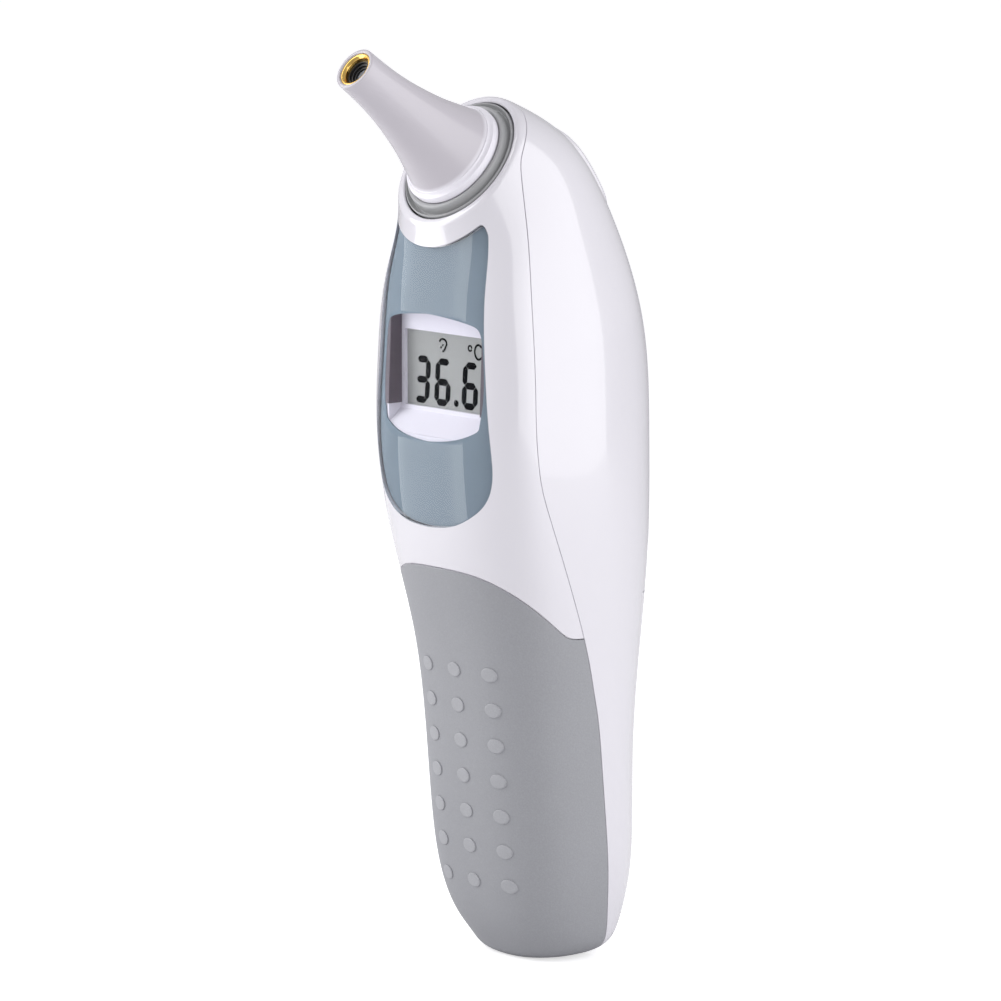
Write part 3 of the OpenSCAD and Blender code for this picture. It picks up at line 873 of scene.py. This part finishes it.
def head_bore(depth=2.6 * MM):
    """The round opening in the head's face that the release ring slides in."""
    profile = [(0, -9 * MM), (12 * MM, -9 * MM), (12 * MM, -depth), (11.15 * MM, -depth),
               (11.15 * MM, -0.18 * MM), (11.33 * MM, 0.02 * MM), (11.6 * MM, 8 * MM), (0, 8 * MM)]
    outline = np.array([(max(r, 1e-6), s) for r, s in profile])
    return revolved("head bore", outline, ON_PROBE, 160)


def round_bar(name, radius, place, length, sides=32):
    """A round bar along a place's Z."""
    return prism(name, circle(radius, sides), 0, length, place)


class THERMOMETER_OT_front_shell(bpy.types.Operator):
    """Glossy front shell, with the pockets for the grip and the display cover"""

    bl_idname = "thermometer.front_shell"
    bl_label = "Front Shell"

    def execute(self, context):
        body = context.scene.thermometer_body
        shell = body_solid("front_shell_moulding")
        combine(shell, "DIFFERENCE", body_solid("cavity", body.wall))
        combine(shell, "INTERSECT", across_body("front half", seam_sides()[0]))
        for x in (-7.5 * MM, 7.5 * MM):
            foot = Matrix.Translation((x, -15 * MM, 58.9 * MM))
            turn = Matrix.Rotation(math.radians(-90), 4, "X")
            combine(shell, "UNION", round_bar("boss", 2.2 * MM, foot @ turn, length=24.9 * MM))
        combine(shell, "DIFFERENCE",
                layer("under grip", across_body("grip region", grip_region()), body.grip_depth),
                layer("under cover", into_front("cover region", cover_outline()), 1.3 * MM),
                block("well space", (-12 * MM, -60 * MM, 86.3 * MM), (12 * MM, -16.8 * MM, 109.3 * MM)),
                head_bore(), parting_gap(), grip_gap(), cover_gap())
        polish(shell)
        settle(shell, "casing", "shell_white", shell_finish(), "front_shell")
        return {"FINISHED"}


class THERMOMETER_OT_rear_shell(bpy.types.Operator):
    """Glossy rear shell, with the openings for the scan button and the battery door"""

    bl_idname = "thermometer.rear_shell"
    bl_label = "Rear Shell"

    def execute(self, context):
        body = context.scene.thermometer_body
        shell = body_solid("rear_shell_moulding")
        combine(shell, "DIFFERENCE", body_solid("cavity", body.wall))
        combine(shell, "INTERSECT", across_body("back half", seam_sides()[1]))
        combine(shell, "DIFFERENCE",
                block("door opening", (-12.6 * MM, 7.7 * MM, -1 * MM), (12.6 * MM, 60 * MM, 60.3 * MM)),
                prism("button opening", widened(stadium(*BUTTON_SIZE), 0.3 * MM),
                      -7 * MM, 12 * MM, ON_BUTTON),
                head_bore(), parting_gap())
        polish(shell)
        settle(shell, "casing", "shell_white", shell_finish(), "rear_shell")
        return {"FINISHED"}


class THERMOMETER_OT_grip_cover(bpy.types.Operator):
    """Soft grip moulded over the front shell, with three columns of raised dots"""

    bl_idname = "thermometer.grip_cover"
    bl_label = "Grip Cover"

    def execute(self, context):
        body = context.scene.thermometer_body
        size = np.array([body.bump_width, body.bump_length]) / 2
        dots = [circle(1, 36) * size + np.array([column, LOWEST_ROW + row * ROW_STEP]) * MM
                for column in DOT_COLUMNS for row in range(DOT_ROWS)]
        height = body.bump_height
        edge = [(0.5 * MM, 0.02 * MM), (-height * 0.4, 0), (-height * 0.8, -0.05 * MM),
                (-height * 0.96, -0.13 * MM), (-height, -0.25 * MM)]
        grip = body_solid("grip_overmould")
        combine(grip, "INTERSECT", across_body("grip region", grip_region()),
                across_body("front half", seam_sides()[0]))
        combine(grip, "DIFFERENCE", body_solid("under grip", body.grip_depth),
                parting_gap(), grip_gap())
        combine(grip, "UNION", cushions("dots", dots, FROM_FRONT, edge, 7))
        polish(grip)
        colours = context.scene.thermometer_finish
        finish = material("soft grip", colours.grip, 0.5, mottle=0.05, smudge=0.08, grain=3800.0,
                          bump=0.012)
        settle(grip, "casing", "grip_rubber", finish, "grip_cover")
        # the second finish goes on the faces that stand out of the grip
        grip.data.materials.append(material("soft dots", colours.dots, 0.42, mottle=0.03,
                                            smudge=0.08, grain=3800.0, bump=0.008))
        proud = depth_of(np.array([v.co for v in grip.data.vertices])) < -0.01 * MM
        for face in grip.data.polygons:
            face.material_index = int(all(proud[list(face.vertices)]))
        return {"FINISHED"}


class THERMOMETER_OT_display_cover(bpy.types.Operator):
    """Clear display cover, flush with the front, and the print behind it round its window"""

    bl_idname = "thermometer.display_cover"
    bl_label = "Display Cover"

    def execute(self, context):
        depth = context.scene.thermometer_body.cover_depth
        outline = cover_outline()
        edge = [(depth - 0.02 * MM, -0.05 * MM), (0.16 * MM, -0.05 * MM), (0.07 * MM, -0.07 * MM),
                (0.02 * MM, -0.12 * MM), (0, -0.2 * MM)]
        cover = cushions("display_lens", [outline], FROM_FRONT, edge, 24)
        polish(cover, level=COVER_LEVEL)
        settle(cover, "casing", "clear_cover", clear_finish(), "display_cover")
        cover.visible_shadow = False
        # the print is bonded into the cover's back
        edge = [(depth + 0.2 * MM, -0.1 * MM), (depth - 0.05 * MM, -0.1 * MM)]
        printed = cushions("lens_print", [outline], FROM_FRONT, edge, 24)
        combine(printed, "DIFFERENCE", into_front("window", window_outline()))
        polish(printed, depth - 0.05 * MM)
        finish = material("cover print", context.scene.thermometer_finish.printed, 0.6,
                          mottle=0.02, smudge=0.04, bump=0.0004, Specular_IOR_Level=0.05)
        settle(printed, "casing", "print_grey", finish, "cover_print")
        printed.visible_shadow = False
        return {"FINISHED"}


def segment_outlines(figure, left, bottom, width, height, bar=1.12 * MM, gap=0.06 * MM):
    """Outlines (x, z) of one seven-segment figure's bars, with pointed ends."""
    half, slant = bar / 2, 0.075
    x0, x1, z0, z1 = left + half, left + width - half, bottom + half, bottom + height - half
    middle = (z0 + z1) / 2
    ends = {"a": (x0, z1, x1, z1), "g": (x0, middle, x1, middle), "d": (x0, z0, x1, z0),
            "f": (x0, middle, x0, z1), "b": (x1, middle, x1, z1),
            "e": (x0, z0, x0, middle), "c": (x1, z0, x1, middle)}
    made = []
    for name in SEGMENTS[figure]:
        start, end = np.array(ends[name][:2]), np.array(ends[name][2:])
        way = (end - start) / np.linalg.norm(end - start)
        side = np.array([-way[1], way[0]]) * half
        start, end = start + way * gap, end - way * gap
        inset = way * half
        outline = np.array([start, start + inset + side, end - inset + side, end,
                            end - inset - side, start + inset - side])
        outline[:, 0] += (outline[:, 1] - bottom) * slant
        made.append(eased(outline, 0.12 * MM))
    return made


def stroke(path, width):
    """The outline of a line of a width along a path (x, z)."""
    path = resampled(Curve(np.array(path) * MM).sampled(10), 0.08 * MM)
    ahead = np.gradient(path, axis=0)
    side = np.column_stack([-ahead[:, 1], ahead[:, 0]])
    side *= width / 2 / np.linalg.norm(side, axis=1, keepdims=True)
    return np.concatenate([path + side, (path - side)[::-1]])


def plates(name, outlines, front, thickness):
    """Thin plates (x, z) that stand on a plane y = front + thickness, in one object."""
    points, faces = [], []
    for outline in outlines:
        count, first = len(outline), len(points)
        points += [(x, y, z) for y in (front, front + thickness) for x, z in outline]
        ring = list(range(first, first + count))
        faces += [ring[::-1], [i + count for i in ring]]
        faces += [[ring[i], ring[(i + 1) % count], ring[(i + 1) % count] + count, ring[i] + count]
                  for i in range(count)]
    return build(name, np.array(points), faces)


class THERMOMETER_OT_display(bpy.types.Operator):
    """Liquid crystal display, its readout, and the well round it"""

    bl_idname = "thermometer.display"
    bl_label = "Display"

    def execute(self, context):
        low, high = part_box("lcd_glass")
        centre_z, thin = (low.z + high.z) / 2, 0.04 * MM
        front, bottom = low.y - thin, centre_z - 5.75 * MM
        width, height = 3.9 * MM, 7.75 * MM
        outlines = []
        for figure, left in (("3", -9.05), ("6", -3.9), ("6", 2.85)):
            outlines += segment_outlines(figure, left * MM, bottom, width, height)
        outlines.append(circle(0.56 * MM, 20) + (1.65 * MM, bottom + 0.75 * MM))
        ink = material("display ink", (0.006, 0.006, 0.007), 0.6, mottle=0.3,
                       Specular_IOR_Level=0.02)
        digits = plates("lcd_digits", outlines, front, thin)
        settle(digits, "casing", "chip_black", ink)
        top = centre_z / MM
        ear = stroke([(-2.5, top + 4.6), (-2.15, top + 5.0), (-1.45, top + 5.12),
                      (-0.85, top + 4.8), (-0.72, top + 4.3), (-1.0, top + 3.85),
                      (-1.25, top + 3.4), (-1.75, top + 3.1)], 0.34 * MM)
        degree = stroke([(5.05 + 0.42 * math.cos(a), top + 4.25 + 0.42 * math.sin(a))
                         for a in np.linspace(0, 5.9, 9)], 0.3 * MM)
        letter_c = stroke([(7.9, top + 4.6), (7.3, top + 4.95), (6.6, top + 4.75),
                           (6.2, top + 3.8), (6.6, top + 2.85), (7.3, top + 2.65),
                           (7.9, top + 3.0)], 0.36 * MM)
        dots = [circle(0.2 * MM, 12) + np.array(place) * MM
                for place in ((-2.1, top + 3.75), (-1.65, top + 4.15))]
        symbols = plates("lcd_symbols", [ear, degree, letter_c, *dots], front, thin)
        settle(symbols, "casing", "chip_black", ink)
        dress("lcd_glass", material("display grey", (0.33, 0.335, 0.325), 0.6, mottle=0.03,
                                    smudge=0.02, bump=0.0004, scale=30,
                                    Specular_IOR_Level=0.05))
        dress("display_well", material("lit well", (0.71, 0.69, 0.75), 0.6, mottle=0.01,
                                       bump=0.001, Specular_IOR_Level=0.05))
        # dark walls of the well, with a flange under the print's edge; their colour is dark seal
        # plastic, made darker still as painted shade on the well's side walls
        depth, flange = context.scene.thermometer_body.cover_depth, 0.3 * MM
        low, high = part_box("light_seals")
        seals = body_solid("side_seals", depth + 0.01 * MM)
        combine(seals, "INTERSECT", block("sides", (low.x - 1.4 * MM, -0.1, low.z),
                                          (high.x + 1.4 * MM, high.y, high.z)))
        combine(seals, "DIFFERENCE", block("between", (low.x + flange, -0.1, 0),
                                           (high.x - flange, 0.1, 0.2)))
        behind = body_solid("behind", depth + flange)
        combine(behind, "DIFFERENCE", block("inside", (low.x, -0.1, 0), (high.x, 0.1, 0.2)))
        combine(seals, "DIFFERENCE", behind)
        shade(seals, 40)
        # partly painted shade: the seal colour is darkened to stand for the shade on the well's walls
        settle(seals, "casing", "seal_dark", material(
            "dark seal with painted shade", (0.12, 0.1, 0.118), 0.7, mottle=0.1, grain=5000.0, bump=0.004),
            "light_seals")
        seals.visible_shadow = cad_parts["display_well"].visible_shadow = False
        return {"FINISHED"}


class THERMOMETER_OT_probe(bpy.types.Operator):
    """Tapered probe with its cover seat, the gilt sleeve in its tip, the baffle and the window"""

    bl_idname = "thermometer.probe"
    bl_label = "Probe"

    def execute(self, context):
        side = Curve(PROBE_SIDE).sampled(8)[:, ::-1]
        root = np.array([
            [7.2, -9.2], [11.4, -9.2], [11.4, -8.2], [8.6, -8.2], [8.6, 0.98], [8.84, 1.0],
            [8.9, 1.06], [8.9, 2.1], [8.82, 2.28], [8.5, 2.42], [8.28, 2.6]]) * MM
        tip = eased(np.array([[3.65, 26.1], [3.62, 26.7], [2.95, 26.7], [2.95, 25]]) * MM,
                    0.32 * MM, closed=False, steps=8)
        bore = np.array([[2.95, 17], [3.3, 12], [6, 3], [7.2, 0.5]]) * MM
        nozzle = revolved("ear_nozzle", np.concatenate([root, side[1:], tip[1:], bore]), ON_PROBE)
        shade(nozzle, 40)
        colours = context.scene.thermometer_finish
        finish = probe_finish(colours.nozzle, colours.skirt_highlight)
        settle(nozzle, "casing", "nozzle_grey", finish, "probe_nozzle")
        sleeve = revolved("gilt_sleeve", eased(np.array(
            [[2.25, 17.2], [2.93, 17.2], [2.93, 26.45], [2.6, 26.45], [2.25, 26.0]]) * MM,
            0.1 * MM), ON_PROBE)
        shade(sleeve, 50)
        gilt = material("gilt", (0.85, 0.56, 0.16), 0.12, mottle=0.05, metal=0.12, bump=0.001)
        settle(sleeve, "casing", "gold_plate", gilt, "waveguide_sleeve")
        dress("sensor_leads", gilt)
        baffle = revolved("stepped_baffle", eased(np.array(
            [[1.2, 24.4], [2.24, 24.4], [2.24, 25.5], [1.9, 25.5], [1.9, 25.1], [1.55, 25.1],
             [1.55, 24.75], [1.2, 24.75]]) * MM, 0.05 * MM, steps=2), ON_PROBE)
        shade(baffle, 50)
        settle(baffle, "casing", "chip_black", black_plastic(), "tip_baffle")
        dress("sensor_window", material("infrared window", (0.42, 0.45, 0.5), 0.08, mottle=0.05,
                                        Specular_IOR_Level=0.8))
        return {"FINISHED"}


class THERMOMETER_OT_release_ring(bpy.types.Operator):
    """Sliding ring that pushes a probe cover off, and the coil spring behind it"""

    bl_idname = "thermometer.release_ring"
    bl_label = "Release Ring"

    def execute(self, context):
        profile = np.array([
            [8.66, -4], [11.6, -4], [11.6, -3], [10.88, -3], [10.88, -0.1], [10.73, 0.15],
            [10.6, 0.1], [10.35, -0.5], [10.1, -0.7], [9.9, -0.5], [9.8, 0.3], [9.72, 0.9],
            [9.5, 1.1], [9.05, 1.0], [8.66, 0.7]]) * MM
        ring = revolved("sprung_ring", eased(profile, 0.3 * MM, steps=5), ON_PROBE)
        shade(ring, 50)
        finish = material("ring plastic", context.scene.thermometer_finish.ring, 0.3,
                          mottle=0.03, smudge=0.05, bump=0.001)
        settle(ring, "release_ring", "ring_grey", finish, "release_ring")
        # the coil's ends lie nearly flat, over a part of a turn
        turns, flat_turn, radius, wire = 3.2, 2 * math.pi * 0.4, 10.1 * MM, 0.3 * MM
        angle = np.linspace(0, turns * 2 * math.pi, 220)
        rise = np.interp(angle, [0, flat_turn, angle[-1] - flat_turn, angle[-1]],
                         np.array([-7.85, -7.6, -4.6, -4.35]) * MM)
        path = np.column_stack([np.cos(angle) * radius, np.sin(angle) * radius, rise])
        radial = np.column_stack([np.cos(angle), np.sin(angle), np.zeros(len(angle))])
        coil = sweep("ring_coil", placed(path, ON_PROBE),
                     radial @ np.array(ON_PROBE.to_3x3()).T, circle(wire, 14))
        shade(coil, 60)
        settle(coil, "casing", "spring_steel", spring_steel(), "ring_spring")
        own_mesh(coil)
        return {"FINISHED"}


class THERMOMETER_OT_scan_button(bpy.types.Operator):
    """Oval scan button in the upper back, with its stem"""

    bl_idname = "thermometer.scan_button"
    bl_label = "Scan Button"

    def execute(self, context):
        proud = context.scene.thermometer_body.button_proud
        place = ON_BUTTON @ Matrix.Translation((0, 0, -6 * MM))
        edge = [(1.2 * MM, 0), (-proud + 0.5 * MM, 0), (-proud + 0.26 * MM, -0.07 * MM),
                (-proud + 0.09 * MM, -0.25 * MM), (-proud, -0.55 * MM)]
        cap = cushions("button_cap", [stadium(*BUTTON_SIZE)], place, edge, 16)
        stem = round_bar("stem", 2 * MM, ON_BUTTON @ Matrix.Translation((0, 0, -6.4 * MM)),
                         5.4 * MM, 48)
        combine(cap, "UNION", stem)
        polish(cap, -proud)
        settle(cap, "scan_button", "shell_white", shell_finish(), "scan_button")
        return {"FINISHED"}


class THERMOMETER_OT_battery_door(bpy.types.Operator):
    """Sliding battery door with its thumb ridges"""

    bl_idname = "thermometer.battery_door"
    bl_label = "Battery Door"

    def execute(self, context):
        door = body_solid("door_panel")
        combine(door, "INTERSECT",
                block("door", (-12.3 * MM, 8 * MM, -1 * MM), (12.3 * MM, 60 * MM, 60 * MM)))
        combine(door, "DIFFERENCE", body_solid("door inside", 1.6 * MM))
        ridge = stadium(1 * MM, 9 * MM)[::-1, ::-1]
        edge = [(0.5 * MM, 0), (-0.12 * MM, 0), (-0.26 * MM, -0.09 * MM), (-0.32 * MM, -0.24 * MM)]
        ridges = [ridge + (0, height * MM) for height in RIDGE_HEIGHTS]
        combine(door, "UNION", cushions("ridges", ridges, FROM_BACK, edge, 6))
        polish(door)
        settle(door, "battery_door", "shell_white", shell_finish(), "battery_door")
        return {"FINISHED"}


class THERMOMETER_OT_contact_springs(bpy.types.Operator):
    """Conical coil springs that press on the cells"""

    bl_idname = "thermometer.contact_springs"
    bl_label = "Contact Springs"

    def execute(self, context):
        low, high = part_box("contact_springs")
        length, wire = 2.8 * MM, 0.3 * MM
        angle = np.linspace(0, 3.4 * 2 * math.pi, 150)
        f = angle / angle[-1]
        radius = (3.4 - 1.2 * f) * MM
        for name, x, base, way in (("contact_coil_low", low.x + 3.7 * MM, low.z, 1),
                                   ("contact_coil_high", high.x - 3.7 * MM, high.z, -1)):
            rise = base + way * (wire + f * (length - 2 * wire))
            path = np.column_stack([x + np.cos(angle) * radius, 5.5 * MM + np.sin(angle) * radius,
                                    rise])
            radial = np.column_stack([np.cos(angle), np.sin(angle), np.zeros(len(angle))])
            coil = sweep(name, path, radial, circle(wire, 12))
            shade(coil, 60)
            settle(coil, "casing", "spring_steel", spring_steel(), "contact_springs")
        return {"FINISHED"}


class THERMOMETER_OT_inner_parts(bpy.types.Operator):
    """Finishes of the boards, cells, contacts and other parts inside the casing"""

    bl_idname = "thermometer.inner_parts"
    bl_label = "Inner Parts"

    def execute(self, context):
        board = material("board green", (0.02, 0.16, 0.07), 0.35, mottle=0.2, grain=2500.0,
                         bump=0.004)
        well = material("white well", (0.83, 0.80, 0.88), 0.4, mottle=0.015)
        black, steel = black_plastic(), spring_steel()
        amber = material("amber strip", (0.62, 0.28, 0.04), 0.3, mottle=0.1, bump=0.001)
        finishes = {
            "lcd_holder": well, "battery_tray": well,
            "zebra_connector": material("connector rubber", (0.75, 0.32, 0.36), 0.55, mottle=0.12,
                                        grain=2500.0, bump=0.006),
            "main_board": board, "sensor_board": board, "switch_board": board,
            "processor": black, "buzzer": black, "tact_switch": black, "switch_plunger": black,
            "board_parts": material("ceramic tan", (0.42, 0.3, 0.17), 0.45, mottle=0.15),
            "thermopile_can": material("can metal", (0.6, 0.6, 0.6), 0.18, metal=0.15,
                                       bump=0.001),
            "sensor_flex": amber, "switch_flex": amber,
            "battery_cells": material("cell wrap", (0.03, 0.26, 0.07), 0.25, mottle=0.15,
                                      Coat_Weight=0.4),
            "contact_plates": steel, "case_screws": steel,
            "battery_leads": material("lead jacket", (0.55, 0.02, 0.02), 0.4, mottle=0.12),
        }
        for name, finish in finishes.items():
            dress(name, finish)
        return {"FINISHED"}


# ---------------------------------------------------------------- studio


def upright_light(name, azimuth, distance, width, brightness, height=0.5):
    """A soft upright panel that stands beside the object, by its turn round it in degrees from
    straight in front towards +X, and by its surface brightness."""
    lamp = bpy.data.lights.new(name, "AREA")
    lamp.shape, lamp.size, lamp.size_y = "RECTANGLE", width, height
    lamp.energy = brightness * math.pi * width * height
    obj = bpy.data.objects.new(name, lamp)
    turn = math.radians(azimuth)
    away = Vector((math.sin(turn), -math.cos(turn), 0))
    obj.location = away * distance + Vector((0, 0, height / 2))
    obj.rotation_euler = away.to_track_quat("Z", "Y").to_euler()
    obj.visible_camera = False
    bpy.context.scene.collection.objects.link(obj)
    return obj


class THERMOMETER_OT_studio(bpy.types.Operator):
    """Pale floor, soft lights, plain backdrop and the camera"""

    bl_idname = "thermometer.studio"
    bl_label = "Studio"

    def execute(self, context):
        studio, scene = context.scene.thermometer_studio, context.scene
        scene.view_settings.view_transform = "Standard"
        floor = block("floor", (-4, -4, -20 * MM), (4, 6, -0.2 * MM))
        floor_glow, backdrop_glow = 0.62, 1.05  # as the camera sees them
        finish = material("pale floor", (0.8, 0.8, 0.81), 0.7, mottle=0.01, bump=0.0,
                          Emission_Color=(1, 1, 1, 1), Specular_IOR_Level=0.1)
        tree = finish.node_tree
        seen = math_node(tree, "MULTIPLY",
                         tree.nodes.new("ShaderNodeLightPath").outputs["Is Camera Ray"],
                         floor_glow)
        tree.links.new(seen, tree.nodes["Principled BSDF"].inputs["Emission Strength"])
        floor.data.materials.append(finish)
        world = bpy.data.worlds.new("studio")
        world.use_nodes = True
        tree = world.node_tree
        backdrop = tree.nodes["Background"]
        backdrop.inputs["Color"].default_value = (0.97, 0.96, 1, 1)
        # the backdrop itself is pale, and lights the object more softly
        path = tree.nodes.new("ShaderNodeLightPath")
        tree.links.new(math_node(tree, "MULTIPLY_ADD", path.outputs["Is Camera Ray"],
                                 backdrop_glow - studio.surroundings, studio.surroundings),
                       backdrop.inputs["Strength"])
        scene.world = world
        aim = Vector(studio.aim)
        back = Vector((math.sin(studio.azimuth) * math.cos(studio.elevation),
                       -math.cos(studio.azimuth) * math.cos(studio.elevation),
                       math.sin(studio.elevation)))
        lens = bpy.data.cameras.new("camera")
        lens.sensor_width, lens.lens = 36, studio.focal_length
        camera = bpy.data.objects.new("camera", lens)
        camera.location = aim + back * studio.distance
        camera.rotation_euler = back.to_track_quat("Z", "Y").to_euler()
        scene.collection.objects.link(camera)
        scene.camera = camera
        upright_light("front light", azimuth=-42, distance=0.3, width=0.22,
                      brightness=studio.front_light)
        fill = upright_light("left fill", azimuth=-115, distance=0.4, width=0.3,
                             brightness=studio.left_fill)
        fill.visible_glossy = False
        upright_light("side light", azimuth=104, distance=0.42, width=0.95,
                      brightness=studio.side_light)
        return {"FINISHED"}


class THERMOMETER_PT_panel(bpy.types.Panel):
    bl_idname = "THERMOMETER_PT_panel"
    bl_label = "Ear Thermometer"
    bl_space_type = "VIEW_3D"
    bl_region_type = "UI"
    bl_category = "Thermometer"

    def draw(self, context):
        for settings in ("thermometer_body", "thermometer_finish", "thermometer_studio"):
            box, group = self.layout.box(), getattr(context.scene, settings)
            for name in group.bl_rna.properties.keys():
                if name not in ("rna_type", "name"):
                    box.prop(group, name)
        for operator in OPERATORS:
            self.layout.operator(operator.bl_idname)


SETTINGS = {"thermometer_body": BodySettings, "thermometer_finish": FinishSettings,
            "thermometer_studio": StudioSettings}
OPERATORS = (
    THERMOMETER_OT_studio, THERMOMETER_OT_front_shell, THERMOMETER_OT_rear_shell,
    THERMOMETER_OT_grip_cover, THERMOMETER_OT_display_cover, THERMOMETER_OT_display,
    THERMOMETER_OT_probe, THERMOMETER_OT_release_ring, THERMOMETER_OT_scan_button,
    THERMOMETER_OT_battery_door, THERMOMETER_OT_contact_springs, THERMOMETER_OT_inner_parts,
)


def register():
    for settings in SETTINGS.values():
        bpy.utils.register_class(settings)
    for name, settings in SETTINGS.items():
        setattr(bpy.types.Scene, name, bpy.props.PointerProperty(type=settings))
    for item in (*OPERATORS, THERMOMETER_PT_panel):
        bpy.utils.register_class(item)


def unregister():
    for item in (THERMOMETER_PT_panel, *reversed(OPERATORS)):
        bpy.utils.unregister_class(item)
    for name, settings in SETTINGS.items():
        delattr(bpy.types.Scene, name)
        bpy.utils.unregister_class(settings)


def main():
    register()
    for operator in OPERATORS:
        family, action = operator.bl_idname.split(".")
        getattr(getattr(bpy.ops, family), action)()


if __name__ == "__main__":
    main()
